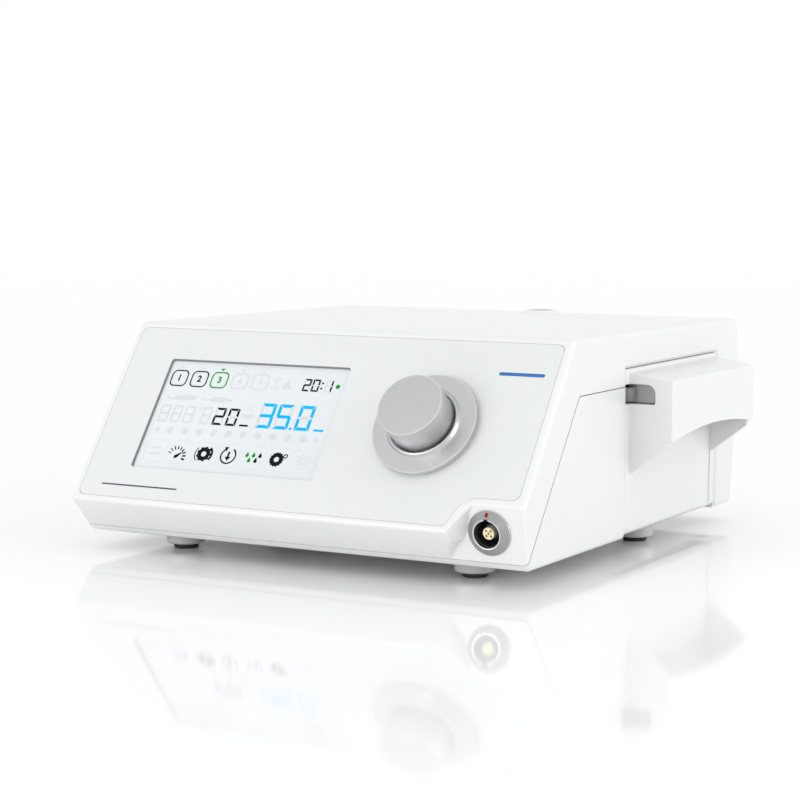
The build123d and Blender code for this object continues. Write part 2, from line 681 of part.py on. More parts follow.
# ---------------------------------------------------------------- pump
def pump_bay():
    """Tub around the pump, with a half-round track below the rollers."""
    x0, x1, y0, y1, z0, z1 = BAY
    t = BAY_WALL
    tub = block((x0, x1), (y0, y1), (z0, z1))
    tub -= rounded_block((y0 + t, y1 - t), (z0 + t, z1 - t), (x0 + t, x1 + 1), 4.0,
                         Plane(origin=(0, 0, 0), x_dir=(0, 1, 0), z_dir=(1, 0, 0)))
    track = tube(28.0, 24.5, (x0 + t - 0.2, 99), frame=PUMP)
    track &= block((x0, x1), (y0, y1), (z0, ROTOR_Z))
    tub += track
    for y in ((y0 + 5, y0 + 13), (y1 - 13, y1 - 5)):
        tub += block((x0 + 2, x0 + 12), y, (INNER_FLOOR_Z, z0 + 0.5))
    clip_y0, clip_y1 = HOOD_Y[0] + CHEEK + 1, HOOD_Y[1] - CHEEK - 1
    for y in ((clip_y0, clip_y0 + 6), (clip_y1 - 6, clip_y1)):
        tub += block((x0 + t - 0.2, 108.0), y, (67.4, 73.4))
    return tub - rod(6.0, (x0 - 1, x0 + t + 1), frame=PUMP)


def roller_centres():
    step = 360 / ROLLER_COUNT
    angles = [radians(45 + step * i) for i in range(ROLLER_COUNT)]
    return [(ROLLER_PITCH_R * cos(a), ROLLER_PITCH_R * sin(a)) for a in angles]


def rotor_hub():
    x0, x1 = ROTOR_X
    hub = rod(ROTOR_R, (x0, ROLLER_X[0] - 0.4), frame=PUMP)
    hub += rod(ROTOR_R, (ROLLER_X[1] + 0.4, x1), frame=PUMP)
    hub += rod(8.0, (x0, x1), frame=PUMP)
    hub -= rod(SHAFT_R + 0.02, (x0 - 1, x1 + 1), frame=PUMP)
    for at in roller_centres():
        hub -= rod(1.52, (x0 + 0.8, x1 + 1), at, PUMP)
    return hub


def roller_axles():
    return group([rod(1.5, (ROTOR_X[0] + 0.9, ROTOR_X[1]), at, PUMP) for at in roller_centres()])


def roller(index):
    at = roller_centres()[index]
    low, high = ROLLER_X
    outline = [
        (1.5 + RUN_CLEAR, low), (ROLLER_R - 0.6, low), (ROLLER_R, low + 0.6),
        (ROLLER_R, high - 0.6), (ROLLER_R - 0.6, high), (1.5 + RUN_CLEAR, high),
    ]
    return PUMP.location * Pos(*at, 0) * turned(outline)


def pump_shaft():
    shaft = rod(SHAFT_R, (60.5, ROTOR_X[1] - 0.2), frame=PUMP)
    return shaft - rod(1.5, (88, 101), frame=PUMP)


def rotor_cap_screw():
    return screw(4.6, 2.6, 1.48, 11, PUMP, w=ROTOR_X[1])


def shaft_bushing():
    outline = [
        (SHAFT_R + RUN_CLEAR, 76.5), (5.95, 76.5), (5.95, 80.1), (7.4, 80.1), (7.4, 82.2),
        (SHAFT_R + RUN_CLEAR, 82.2),
    ]
    return turned(outline, PUMP)


GEARBOX_X = (50.0, 76.2)
MOTOR_X = (10.0, 50.0)


def gearbox_housing():
    box_body = rod(16.0, GEARBOX_X, frame=PUMP)
    box_body += rounded_block((-19, 19), (-14, 14), (GEARBOX_X[1] - 3, GEARBOX_X[1]), 3.0, PUMP)
    return box_body - rod(SHAFT_R + 0.3, (60, 80), frame=PUMP)


def pump_motor():
    motor = rod(14.0, MOTOR_X, frame=PUMP)
    motor += rod(5.0, (MOTOR_X[0] - 3, MOTOR_X[0]), frame=PUMP)
    for at in ((-8, 0), (8, 0)):
        motor += block((at[0] - 1.4, at[0] + 1.4), (-0.4, 0.4), (MOTOR_X[0] - 6, MOTOR_X[0]), PUMP)
    return motor


# ---------------------------------------------------------------- feet
def foot_cups():
    outline = [
        (1.7, 4.7), (5.6, 4.7), (5.6, 2.2), (8.0, 2.2), (8.6, 2.8), (8.8, 6.0), (8.6, FLOOR_Z),
        (1.7, FLOOR_Z),
    ]
    cups = []
    for x, y in FEET:
        cup = Pos(x, y, 0) * turned(outline)
        cups.append(cup - rod(3.2, (4.0, 6.8), at=(x, y)))
    return group(cups)


def foot_pads():
    outline = [(0, 0), (4.9, 0), (5.5, 0.6), (5.5, 4.6), (0, 4.6)]
    return group([Pos(x, y, 0) * turned(outline) for x, y in FEET])


def foot_screws():
    down = Plane(origin=(0, 0, 6.7), x_dir=(1, 0, 0), z_dir=(0, 0, -1))
    return group([screw(3.0, 1.9, 1.25, 8, down, (x, -y)) for x, y in FEET])


# ---------------------------------------------------------------- back panel
INLET_U = 62.0
FUSE_V = 41.0
ROCKER_U = 32.0
PEDAL_U = -30.0
DEVICE_V = 30.0
FLANGE_W = (PANEL_W[1], PANEL_W[1] + 1.8)


def rear_panel():
    plate = rounded_block(PANEL_U, PANEL_V, PANEL_W, 2.0, REAR)
    through = (PANEL_W[0] - 1, PANEL_W[1] + 1)
    plate -= block((INLET_U - 13.7, INLET_U + 13.7), (15.3, 45.7), through, REAR)
    plate -= block((ROCKER_U - 6.7, ROCKER_U + 6.7), (19.8, 40.2), through, REAR)
    plate -= rod(8.6, through, (PEDAL_U, DEVICE_V), REAR)
    for at in PANEL_SCREWS:
        plate -= rod(1.3, through, at, REAR)
    return plate


def panel_screws():
    return group([screw(2.8, 1.6, 1.25, 7.5, REAR, at) for at in PANEL_SCREWS])


INLET_V = 26.0          # centre of the three-pin cavity


def inlet_cavity(grow, w):
    """Plug-shaped hollow with two bevelled lower corners."""
    u0, u1 = INLET_U - 12.0 - grow, INLET_U + 12.0 + grow
    v0, v1 = INLET_V - 8.3 - grow, INLET_V + 8.3 + grow
    c = 4.0
    outline = [(u0, v1), (u1, v1), (u1, v0 + c), (u1 - c, v0), (u0 + c, v0), (u0, v0 + c)]
    face = REAR.location * Pos(0, 0, w[0]) * make_face(Polyline(*outline, close=True))
    return extrude(face, amount=w[1] - w[0])


INLET_PINS = [(INLET_U - 7.0, INLET_V - 1.5), (INLET_U, INLET_V + 2.5), (INLET_U + 7.0, INLET_V - 1.5)]
DRAWER_U = (INLET_U - 12.2, INLET_U + 12.2)
DRAWER_V = (FUSE_V - 4.2, FUSE_V + 3.2)
DRAWER_W = (-20.0, FLANGE_W[1] + 0.2)


def mains_inlet():
    body = rounded_block((INLET_U - 15.5, INLET_U + 15.5), (14.0, 47.2), FLANGE_W, 1.5, REAR)
    body += block((INLET_U - 13.5, INLET_U + 13.5), (15.5, 45.5), (-24.0, FLANGE_W[0]), REAR)
    body -= inlet_cavity(0.0, (-19.0, 2))
    for u, v in INLET_PINS:
        body -= block((u - 1.05, u + 1.05), (v - 2.05, v + 2.05), (-30, 0), REAR)
    clear = 0.3
    slot_u = (DRAWER_U[0] - clear, DRAWER_U[1] + clear)
    slot_v = (DRAWER_V[0] - clear, DRAWER_V[1] + clear)
    return body - block(slot_u, slot_v, (DRAWER_W[0] - clear, 3), REAR)


def inlet_pins():
    pins = []
    for u, v in INLET_PINS:
        pins.append(rounded_block((u - 1, u + 1), (v - 2, v + 2), (-30.0, -6.0), 0.4, REAR))
    return group(pins)


FUSE_W = (-8.0, -14.5)


def fuse_drawer():
    drawer = block(DRAWER_U, DRAWER_V, DRAWER_W, REAR)
    for w in FUSE_W:
        drawer -= block((INLET_U - 10.4, INLET_U + 10.4), (FUSE_V - 2.9, FUSE_V + 5),
                        (w - 2.8, w + 2.8), REAR)
    return drawer - block((INLET_U - 5, INLET_U + 5), (DRAWER_V[0] - 1, DRAWER_V[0] + 1.2),
                          (DRAWER_W[1] - 1.0, DRAWER_W[1] + 1), REAR)


def fuses():
    fuse = []
    for w in FUSE_W:
        origin = REAR.from_local_coords(Vector(INLET_U, FUSE_V - 0.4, w))
        lie = Plane(origin=origin, x_dir=REAR.y_dir, z_dir=REAR.x_dir)
        glass = rod(2.2, (-10, 10), frame=lie)
        glass += rod(2.5, (-10, -5), frame=lie) + rod(2.5, (5, 10), frame=lie)
        fuse.append(glass)
    return group(fuse)


ROCKER_PIVOT_W = -6.6
ROCKER_HALF_V = 8.0
ROCKER_TILT = 10.0
ROCKER_PIN_R = 1.0


def rocker_frame():
    frame = rounded_block((ROCKER_U - 8, ROCKER_U + 8), (DEVICE_V - 12, DEVICE_V + 12), FLANGE_W,
                          1.5, REAR)
    frame += block((ROCKER_U - 6.5, ROCKER_U + 6.5), (DEVICE_V - 10, DEVICE_V + 10),
                   (-22, FLANGE_W[0]), REAR)
    frame -= block((ROCKER_U - 5.3, ROCKER_U + 5.3), (DEVICE_V - 9.1, DEVICE_V + 9.1),
                   (-14, 2), REAR)
    for u in (ROCKER_U - 3, ROCKER_U + 3):
        frame += block((u - 0.4, u + 0.4), (DEVICE_V - 2.4, DEVICE_V + 2.4), (-28, -21.5), REAR)
    return frame - rod(ROCKER_PIN_R + RUN_CLEAR, (-6.3, 6.3), frame=rocker_axis())


def rocker_axis():
    origin = REAR.from_local_coords(Vector(ROCKER_U, DEVICE_V, ROCKER_PIVOT_W))
    return Plane(origin=origin, x_dir=REAR.y_dir, z_dir=REAR.x_dir)


def rocker_button():
    """Rocker resting on its lower side; its own frame is (along the back, outwards)."""
    half = ROCKER_HALF_V
    outline = [
        (-half, 6.0), (0, 4.6), (half, 6.0), (half, 2.0), (4.5, -3.5), (-4.5, -3.5), (-half, 2.0),
    ]
    axis = rocker_axis()
    side = Plane(origin=axis.origin, x_dir=REAR.y_dir, z_dir=-REAR.x_dir)
    face = side.location * Rot(0, 0, -ROCKER_TILT) * make_face(Polyline(*outline, close=True))
    button = extrude(face, amount=4.9, both=True)
    return button + rod(ROCKER_PIN_R, (-6.0, 6.0), frame=axis)


def pedal_socket_ring():
    outline = [
        (7.0, PANEL_W[1] + 1.6), (8.6, PANEL_W[1] + 1.6), (10.5, PANEL_W[1] + 0.9),
        (10.5, PANEL_W[1]), (8.5, PANEL_W[1]), (8.5, -13.0), (7.6, -13.0), (7.6, -6.0), (7.0, -6.0),
    ]
    return REAR.location * Pos(PEDAL_U, DEVICE_V, 0) * turned(outline)


def pedal_socket_insert():
    at = (PEDAL_U, DEVICE_V)
    insert = rod(7.5, (-15.0, -6.1), at, REAR)
    for angle in (60, 120, 180, 240, 300, 0):
        hole = (at[0] + 3.6 * cos(radians(angle)), at[1] + 3.6 * sin(radians(angle)))
        insert -= rod(0.7, (-12.0, -6), hole, REAR)
    return insert - block((PEDAL_U - 1.2, PEDAL_U + 1.2), (DEVICE_V - 7.6, DEVICE_V - 5.6),
                          (-12, -6), REAR)


# ---------------------------------------------------------------- inside
def pole_socket():
    """Steel sleeve, closed below, whose mouth lies just inside the swelling on the top."""
    at = (POLE_X, POLE_Y)
    return tube(6.0, POLE_R, (66.1, POLE_TOP_Z - 1.2), at=at) + rod(6.0, (66.1, 67.6), at=at)


def board(x, y, holes):
    plate = rounded_block(x, y, (BOARD_Z, BOARD_Z + BOARD_T), 2.0)
    for at in holes:
        plate -= rod(1.6, (BOARD_Z - 1, BOARD_Z + 3), at=at)
    return plate


def main_pcb():
    plate = board((-30, 75), (66, 200), BOARD_POSTS[4:])
    top = BOARD_Z + BOARD_T
    chips = [((28, 46), (100, 118), 2.4), ((52, 62), (96, 112), 1.8), ((20, 44), (74, 79), 8.0)]
    for x, y, height in chips:
        plate += block(x, y, (top, top + height))
    return plate


def power_supply_pcb():
    plate = board((-92, -40), (66, 134), BOARD_POSTS[:4])
    top = BOARD_Z + BOARD_T
    plate += block((-88, -70), (76, 98), (top, top + 20))
    return plate


def capacitors():
    top = BOARD_Z + BOARD_T
    outline = [(0, 0), (7.4, 0), (8.0, 0.6), (8.0, 2.2), (7.5, 3.0), (8.0, 3.8), (8.0, 24), (0, 24)]
    return group([Pos(x, 116, top) * turned(outline) for x in (-80, -62)]
                 + [Pos(-52, 92, top) * turned(outline)])


def transformer():
    core = block((-90, -36), (146, 190), (INNER_FLOOR_Z, 56))
    core += block((-80, -46), (138, 198), (18, 49))
    return core


def heat_sink():
    top = BOARD_Z + BOARD_T
    sink = block((-24, 14), (84, 134), (top, top + 5))
    for i in range(7):
        x = -24 + 6.0 * i
        sink += block((x, x + 2), (84, 134), (top + 4.5, top + 26))
    return sink


def pcb_standoffs():
    posts = []
    for x, y in BOARD_POSTS:
        post = Pos(x, y, INNER_FLOOR_Z) * extrude(
            RegularPolygon(3.0, 6, major_radius=False), amount=BOARD_Z - INNER_FLOOR_Z)
        posts.append(post - rod(1.2, (INNER_FLOOR_Z - 1, BOARD_Z + 1), at=(x, y)))
    return group(posts)


def pcb_screws():
    top = BOARD_Z + BOARD_T
    return group([screw(2.8, 1.8, 1.15, 6.5, Plane.XY, at, top) for at in BOARD_POSTS])


def case_screws():
    down = Plane(origin=(0, 0, 60), x_dir=(1, 0, 0), z_dir=(0, 0, -1))
    return group([screw(3.4, 2.4, 1.65, 26, down, (x, -y)) for x, y in COLUMNS])


def ribbon_cable():
    """Flat cable from the display board's header down to the main board's header."""
    t = 0.8
    start = FACE.from_local_coords(Vector(0, 27, BOARD_H - 6))
    end_z = BOARD_Z + BOARD_T + 8.0
    path = [
        (start.Y, start.Z), (start.Y + 8, start.Z - 4), (start.Y + 16, start.Z + 2),
        (60, end_z + 10), (76, end_z + 8), (76.5, end_z),
    ]
    back = [(y - t * 0.6, z - t) for y, z in reversed(path[1:-1])]
    loop = path + [(path[-1][0] - t, end_z)] + back + [(start.Y - 0.4, start.Z - t)]
    face = Plane.YZ.location * make_face(Polyline(*loop, close=True))
    return Pos(21, 0, 0) * extrude(face, amount=18, dir=(1, 0, 0))


# ---------------------------------------------------------------- build everything
def build():
    form = closed_form(NOSE_R, CORNER_R, EDGE_R)
    soft_form = closed_form(SOFT_CORNER_R, SOFT_CORNER_R, SOFT_EDGE_R)
    inner = offset(soft_form, amount=-WALL, kind=Kind.INTERSECTION) - socket_recess(WALL)
    shell = housing_with_recess(form) - inner
    save("upper_cover", upper_cover(shell))
    save("base_tray", base_tray(shell, soft_form))
    pieces = [
        front_overlay, lcd_panel, lcd_backlight, lcd_frame, display_pcb, display_screws,
        encoder_body, encoder_nut, encoder_rotor, encoder_shaft, knob_cap, knob_set_screw,
        knob_surround, motor_socket_ring, motor_socket_shell, motor_socket_insert,
        motor_socket_contacts, motor_socket_nut, pump_lid, lid_hinge_pin, pump_bay, rotor_hub,
        roller_axles, rotor_cap_screw, pump_shaft, shaft_bushing, gearbox_housing, pump_motor,
        foot_cups, foot_pads, foot_screws, rear_panel, panel_screws, mains_inlet, inlet_pins,
        fuse_drawer, fuses, rocker_frame, rocker_button, pedal_socket_ring, pedal_socket_insert,
        pole_socket, main_pcb, power_supply_pcb, transformer, capacitors, heat_sink,
        pcb_standoffs, pcb_screws, case_screws, ribbon_cable,
    ]
    for piece in pieces:
        save(piece.__name__, piece())
    for index in range(ROLLER_COUNT):
        save(f"roller_{index + 1}", roller(index))


build()
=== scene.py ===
import json
import math

import bmesh
import bpy
from mathutils import Matrix, Vector


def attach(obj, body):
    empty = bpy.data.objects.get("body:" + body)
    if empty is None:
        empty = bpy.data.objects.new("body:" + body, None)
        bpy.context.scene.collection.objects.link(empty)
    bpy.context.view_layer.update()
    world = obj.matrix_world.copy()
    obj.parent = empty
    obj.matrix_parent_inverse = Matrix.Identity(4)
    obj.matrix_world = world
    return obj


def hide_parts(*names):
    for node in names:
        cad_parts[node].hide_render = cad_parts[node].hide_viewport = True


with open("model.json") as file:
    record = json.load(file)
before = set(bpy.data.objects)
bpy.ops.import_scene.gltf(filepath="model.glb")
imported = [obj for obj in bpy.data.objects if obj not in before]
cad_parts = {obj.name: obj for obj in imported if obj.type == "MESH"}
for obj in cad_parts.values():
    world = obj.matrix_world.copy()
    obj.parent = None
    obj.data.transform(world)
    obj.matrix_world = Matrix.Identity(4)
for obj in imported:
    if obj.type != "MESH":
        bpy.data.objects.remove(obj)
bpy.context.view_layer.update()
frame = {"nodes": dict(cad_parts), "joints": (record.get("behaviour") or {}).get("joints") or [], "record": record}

MM = 0.001
ACROSS = Vector((1, 0, 0))


# ---------------------------------------------------------------- frames read from the record
def joint(name):
    """The frame's row for one joint."""
    return next(j for j in frame["joints"] if j["name"] == name)


def mount(name):
    """The record's row for one mount."""
    return next(m for m in frame["record"]["mounts"] if m["name"] == name)


def frame_at(origin, normal):
    """Matrix of a local frame: X runs across, Z along the normal, Y completes it."""
    z = Vector(normal).normalized()
    x = (ACROSS - z * ACROSS.dot(z)).normalized()
    y = z.cross(x)
    turn = Matrix((x, y, z)).transposed().to_4x4()
    return Matrix.Translation(Vector(origin)) @ turn


def local_box(node, matrix):
    """Lowest and highest corner of a CAD node in a local frame."""
    inverse = matrix.inverted()
    points = [inverse @ v.co for v in frame["nodes"][node].data.vertices]
    low = Vector([min(p[i] for p in points) for i in range(3)])
    high = Vector([max(p[i] for p in points) for i in range(3)])
    return low, high


KNOB = frame_at(joint("knob_spin")["pos_m"], joint("knob_spin")["axis"])
SOCKET = frame_at(mount("motor_socket")["pos_m"], mount("motor_socket")["axis"])

# The screen: origin at the lower left corner of the part of the panel that is in view. The panel
# runs a little way under the overlay on every side. Sizes and depth are in millimetres.
SCREEN_MARGIN = 2.2 * MM
screen_low, screen_high = local_box("lcd_panel", KNOB)
SCREEN = KNOB @ Matrix.Translation(
    (screen_low.x + SCREEN_MARGIN, screen_low.y + SCREEN_MARGIN, screen_high.z)
)
SCREEN_SIZE = (screen_high - screen_low) / MM - Vector((2, 2, 0)) * SCREEN_MARGIN / MM
SCREEN_DEPTH = -screen_high.z / MM

# The front face: origin at the lower left corner of the overlay, on its surface. Its size is in
# millimetres.
front_low, front_high = local_box("front_overlay", KNOB)
FRONT = KNOB @ Matrix.Translation((front_low.x, front_low.y, front_high.z))
FRONT_SIZE = (front_high - front_low) / MM


# ---------------------------------------------------------------- materials
PLASTIC_IOR = 1.5


class Nodes:
    """Short names for building one material's node tree."""

    def __init__(self, name):
        self.material = bpy.data.materials.new(name)
        self.material.use_nodes = True
        self.tree = self.material.node_tree
        self.shader = self.tree.nodes["Principled BSDF"]
        coordinates = self.tree.nodes.new("ShaderNodeTexCoord")
        self.place = coordinates.outputs["Object"]

    def set(self, **values):
        """Constant values of the shader, with _ for the spaces in a socket's name."""
        for key, value in values.items():
            self.shader.inputs[key.replace("_", " ")].default_value = value

    def link(self, source, target):
        self.tree.links.new(source, target)

    def local(self, matrix):
        """Coordinates in a local frame, for turned and brushed faces."""
        node = self.tree.nodes.new("ShaderNodeMapping")
        node.vector_type = "TEXTURE"
        node.inputs["Location"].default_value = matrix.to_translation()
        node.inputs["Rotation"].default_value = matrix.to_euler()
        self.link(self.place, node.inputs["Vector"])
        return node.outputs["Vector"]

    def stretch(self, vector, scale):
        """Coordinates scaled along each axis."""
        node = self.tree.nodes.new("ShaderNodeMapping")
        node.inputs["Scale"].default_value = scale
        self.link(vector, node.inputs["Vector"])
        return node.outputs["Vector"]

    def noise(self, scale, detail, rough=0.5):
        """Noise texture in the piece's own coordinates."""
        node = self.tree.nodes.new("ShaderNodeTexNoise")
        node.inputs["Scale"].default_value = scale
        node.inputs["Detail"].default_value = detail
        node.inputs["Roughness"].default_value = rough
        self.link(self.place, node.inputs["Vector"])
        return node.outputs["Fac"]

    def rings(self, scale, vector):
        """Fine concentric turning lines about the local Z axis."""
        node = self.tree.nodes.new("ShaderNodeTexWave")
        node.wave_type = "RINGS"
        node.rings_direction = "Z"
        node.inputs["Scale"].default_value = scale
        node.inputs["Distortion"].default_value = 0.6
        node.inputs["Detail"].default_value = 2.0
        self.link(vector, node.inputs["Vector"])
        return node.outputs["Fac"]

    def span(self, value, low, high, start=0.3, end=0.7):
        """A value between start and end, spread over the range from low to high."""
        node = self.tree.nodes.new("ShaderNodeMapRange")
        node.inputs["From Min"].default_value = start
        node.inputs["From Max"].default_value = end
        node.inputs["To Min"].default_value = low
        node.inputs["To Max"].default_value = high
        self.link(value, node.inputs["Value"])
        return node.outputs["Result"]

    def blend(self, factor, first, second):
        """Mix of two constant colours by a texture."""
        node = self.tree.nodes.new("ShaderNodeMix")
        node.data_type = "RGBA"
        node.inputs["A"].default_value = (*first, 1)
        node.inputs["B"].default_value = (*second, 1)
        self.link(factor, node.inputs["Factor"])
        return node.outputs["Result"]

    def colour(self, factor, first, second):
        """Base colour that wanders between two colours."""
        self.link(self.blend(factor, first, second), self.shader.inputs["Base Color"])

    def roughness(self, value, low, high):
        """Roughness that follows a texture."""
        self.link(self.span(value, low, high), self.shader.inputs["Roughness"])

    def bump(self, height, distance, strength, after=None):
        """Fine relief, laid over an earlier one where that is given."""
        node = self.tree.nodes.new("ShaderNodeBump")
        node.inputs["Strength"].default_value = strength
        node.inputs["Distance"].default_value = distance
        self.link(height, node.inputs["Height"])
        if after:
            self.link(after, node.inputs["Normal"])
        self.link(node.outputs["Normal"], self.shader.inputs["Normal"])
        return node.outputs["Normal"]


def scaled(colour, factor):
    """A colour made lighter or darker."""
    return tuple(min(1.0, c * factor) for c in colour)


def moulded(name, colour, rough=(0.29, 0.35)):
    """Moulded plastic: faint cloudiness and a fine grain."""
    n = Nodes(name)
    n.colour(n.noise(9, 2), scaled(colour, 0.988), scaled(colour, 1.006))
    n.roughness(n.noise(35, 3), *rough)
    n.bump(n.noise(3600, 2), 0.004 * MM, 0.5)
    n.set(Coat_Weight=0.35, Coat_Roughness=0.12, IOR=PLASTIC_IOR)
    return n.material


def film(name, colour):
    """Hard-coated print film over the front: satin, with the faintest sparkle."""
    n = Nodes(name)
    n.colour(n.noise(14, 2), scaled(colour, 0.985), scaled(colour, 1.01))
    n.roughness(n.noise(90, 3), 0.3, 0.4)
    n.bump(n.noise(3200, 2), 0.004 * MM, 0.5)
    n.set(Coat_Weight=0.5, Coat_Roughness=0.22, IOR=PLASTIC_IOR)
    return n.material


def screen_glass(name, colour, glow):
    """Backlit liquid crystal behind a matt front polariser."""
    n = Nodes(name)
    shade = n.noise(18, 1)
    n.colour(shade, scaled(colour, 0.97), scaled(colour, 1.02))
    n.link(n.blend(shade, scaled(colour, 0.96), colour), n.shader.inputs["Emission Color"])
    n.roughness(n.noise(1500, 2), 0.2, 0.26)
    n.bump(n.noise(4000, 2), 0.002 * MM, 0.4)
    n.set(Emission_Strength=glow, Coat_Weight=0.3, Coat_Roughness=0.15, IOR=PLASTIC_IOR)
    return n.material


def blasted(name, colour, rough=(0.34, 0.46), grain=0.018):
    """Bead-blasted and anodised metal."""
    n = Nodes(name)
    n.colour(n.noise(900, 4), scaled(colour, 0.93), scaled(colour, 1.04))
    n.roughness(n.noise(1400, 3), *rough)
    n.bump(n.noise(3400, 3, rough=0.7), grain * MM, 0.8)
    n.set(Metallic=1.0)
    return n.material


def polished(name, colour):
    """Diamond-cut bevel of a metal piece: bright, with hairline scratches."""
    n = Nodes(name)
    n.colour(n.noise(900, 3), scaled(colour, 0.95), scaled(colour, 1.03))
    n.roughness(n.noise(1600, 4), 0.08, 0.16)
    n.bump(n.noise(3000, 4), 0.002 * MM, 0.4)
    n.set(Metallic=1.0)
    return n.material


def turned_metal(name, colour, matrix):
    """Metal with fine concentric lathe lines about a local axis."""
    n = Nodes(name)
    flat = n.stretch(n.local(matrix), (1, 1, 0.2))
    lines = n.rings(4200, flat)
    n.colour(n.noise(700, 3), scaled(colour, 0.94), scaled(colour, 1.04))
    n.roughness(lines, 0.29, 0.38)
    low = n.bump(lines, 0.006 * MM, 0.5)
    n.bump(n.noise(2800, 2), 0.004 * MM, 0.5, after=low)
    n.set(Metallic=1.0, Anisotropic=0.5)
    return n.material


def steel(name, colour=(0.62, 0.63, 0.65), rough=(0.29, 0.42)):
    """Plated steel with faint wear."""
    n = Nodes(name)
    n.colour(n.noise(500, 4), scaled(colour, 0.85), scaled(colour, 1.08))
    n.roughness(n.noise(700, 4), *rough)
    n.bump(n.noise(2500, 3), 0.01 * MM, 0.6)
    n.set(Metallic=1.0)
    return n.material


def matt(name, colour, rough=(0.5, 0.7), grain=0.03, scale=1800):
    """Matt moulding or rubber with a spark-eroded grain."""
    n = Nodes(name)
    n.colour(n.noise(300, 4), scaled(colour, 0.85), scaled(colour, 1.15))
    n.roughness(n.noise(500, 3), *rough)
    n.bump(n.noise(scale, 3), grain * MM, 0.8)
    return n.material


def circuit_board(name):
    """Solder resist over copper: broad pours, thin tracks and glass weave."""
    n = Nodes(name)
    cells = n.tree.nodes.new("ShaderNodeTexVoronoi")
    cells.distance = "CHEBYCHEV"
    cells.feature = "F1"
    cells.inputs["Scale"].default_value = 260
    n.link(n.place, cells.inputs["Vector"])
    tracks = n.span(cells.outputs["Distance"], 0, 1, 0.28, 0.34)
    n.colour(tracks, (0.012, 0.10, 0.045), (0.03, 0.2, 0.09))
    n.roughness(n.noise(400, 3), 0.29, 0.4)
    n.bump(tracks, 0.03 * MM, 0.6)
    n.set(Coat_Weight=0.3)
    return n.material


def printed(name, colour, glow=0.0, gloss=0.5):
    """Printed or lit mark: opaque ink with slight mottling."""
    n = Nodes(name)
    n.colour(n.noise(900, 3), scaled(colour, 0.9), scaled(colour, 1.06))
    n.roughness(n.noise(900, 2), 0.45, 0.6)
    n.bump(n.noise(3000, 2), 0.003 * MM, 0.4)
    n.set(Specular_IOR_Level=gloss)
    if glow:
        n.set(Emission_Color=(*colour, 1), Emission_Strength=glow)
    return n.material


WHITE = (0.755, 0.758, 0.758)
MATERIALS = {
    "cover_white": moulded("cover white", WHITE),
    "base_white": moulded("base white", scaled(WHITE, 0.99)),
    "lid_white": moulded("lid white", WHITE),
    "overlay_grey": film("overlay film", (0.69, 0.715, 0.705)),
    "lcd": screen_glass("screen", (0.685, 0.725, 0.745), 0.01),
    "backlight": moulded("light guide", (0.85, 0.88, 0.9)),
    "knob_metal": blasted("knob aluminium", (0.575, 0.575, 0.58)),
    "surround_metal": blasted("surround aluminium", (0.58, 0.58, 0.585), (0.3, 0.4), 0.01),
    "socket_metal": turned_metal("socket metal", (0.38, 0.385, 0.39), SOCKET),
    "black_plastic": matt("black plastic", (0.02, 0.02, 0.022), (0.35, 0.5), 0.01),
    "insert_ivory": matt("ivory insulator", (0.80, 0.72, 0.50), (0.3, 0.45), 0.006),
    "contact_gold": steel("gold contact", (0.85, 0.62, 0.28), (0.29, 0.36)),
    "steel": steel("plated steel"),
    "rubber": matt("foot rubber", (0.015, 0.015, 0.016), (0.6, 0.8), 0.03),
    # The foot cups use the white moulding made darker (0.66 of it): painted shade for the shadow under the
    # console.
    "foot_white": moulded("foot white darkened for painted shade", scaled(WHITE, 0.66), (0.3, 0.42)),
    "bay_grey": matt("bay grey", (0.68, 0.69, 0.69), (0.4, 0.55), 0.02),
    "roller_white": moulded("roller acetal", (0.78, 0.78, 0.75)),
    "hub_grey": matt("hub grey", (0.22, 0.225, 0.23), (0.35, 0.5), 0.015),
    "panel_metal": matt("panel coat", (0.66, 0.67, 0.68), (0.35, 0.5), 0.05, 900),
    "pcb": circuit_board("circuit board"),
    "core_steel": matt("core laminations", (0.05, 0.05, 0.052), (0.4, 0.6), 0.04),
    "cap_sleeve": moulded("capacitor sleeve", (0.02, 0.03, 0.09)),
    "sink_aluminium": blasted("sink aluminium", (0.55, 0.55, 0.56)),
    "motor_steel": steel("motor can"),
    "bronze": steel("bearing bronze", (0.5, 0.33, 0.14)),
    "cable_grey": matt("flat cable", (0.33, 0.34, 0.36), (0.4, 0.55), 0.01),
    "fuse_glass": moulded("fuse glass", (0.55, 0.57, 0.58), (0.05, 0.1)),
}

for part in frame["record"]["subparts"]:
    mesh = frame["nodes"][part["node"]].data
    mesh.materials.clear()
    mesh.materials.append(MATERIALS[part["material_slot"]])

# The contacts of the motor socket lie deep in their holes. Their gold is darkened here to paint the shade inside
# the holes.
contacts = frame["nodes"]["motor_socket_contacts"].data
contacts.materials.clear()
# Dark brown in place of gold: painted shade of the holes.
contacts.materials.append(steel("contact darkened for painted shade", (0.10, 0.06, 0.02), (0.5, 0.6)))


# ---------------------------------------------------------------- flat marks
def circle(centre, radius, start=0.0, sweep=360.0, steps=48):
    """Points of a circle, or of an arc when the sweep is less than a full turn."""
    closed = abs(sweep) >= 360
    count = steps if closed else steps + 1
    points = []
    for i in range(count):
        angle = math.radians(start + sweep * i / steps)
        points.append((centre[0] + radius * math.cos(angle), centre[1] + radius * math.sin(angle)))
    return points


def rounded_square(centre, width, height, radius, steps=6):
    """Outline of a rectangle with round corners."""
    points = []
    for corner, (sx, sy) in enumerate(((1, 1), (-1, 1), (-1, -1), (1, -1))):
        middle = (centre[0] + sx * (width / 2 - radius), centre[1] + sy * (height / 2 - radius))
        points += circle(middle, radius, 90 * corner, 90, steps)
    return points


def moved(points, by, turn=0.0, scale=1.0):
    """Points turned by an angle in degrees, scaled and shifted."""
    c = math.cos(math.radians(turn)) * scale
    s = math.sin(math.radians(turn)) * scale
    return [(by[0] + c * x - s * y, by[1] + s * x + c * y) for x, y in points]


SHORTEST = 1e-9         # a step between two points that is shorter than this has no direction
SHARPEST = 0.4          # keeps the outer corner of a sharp bend from running away


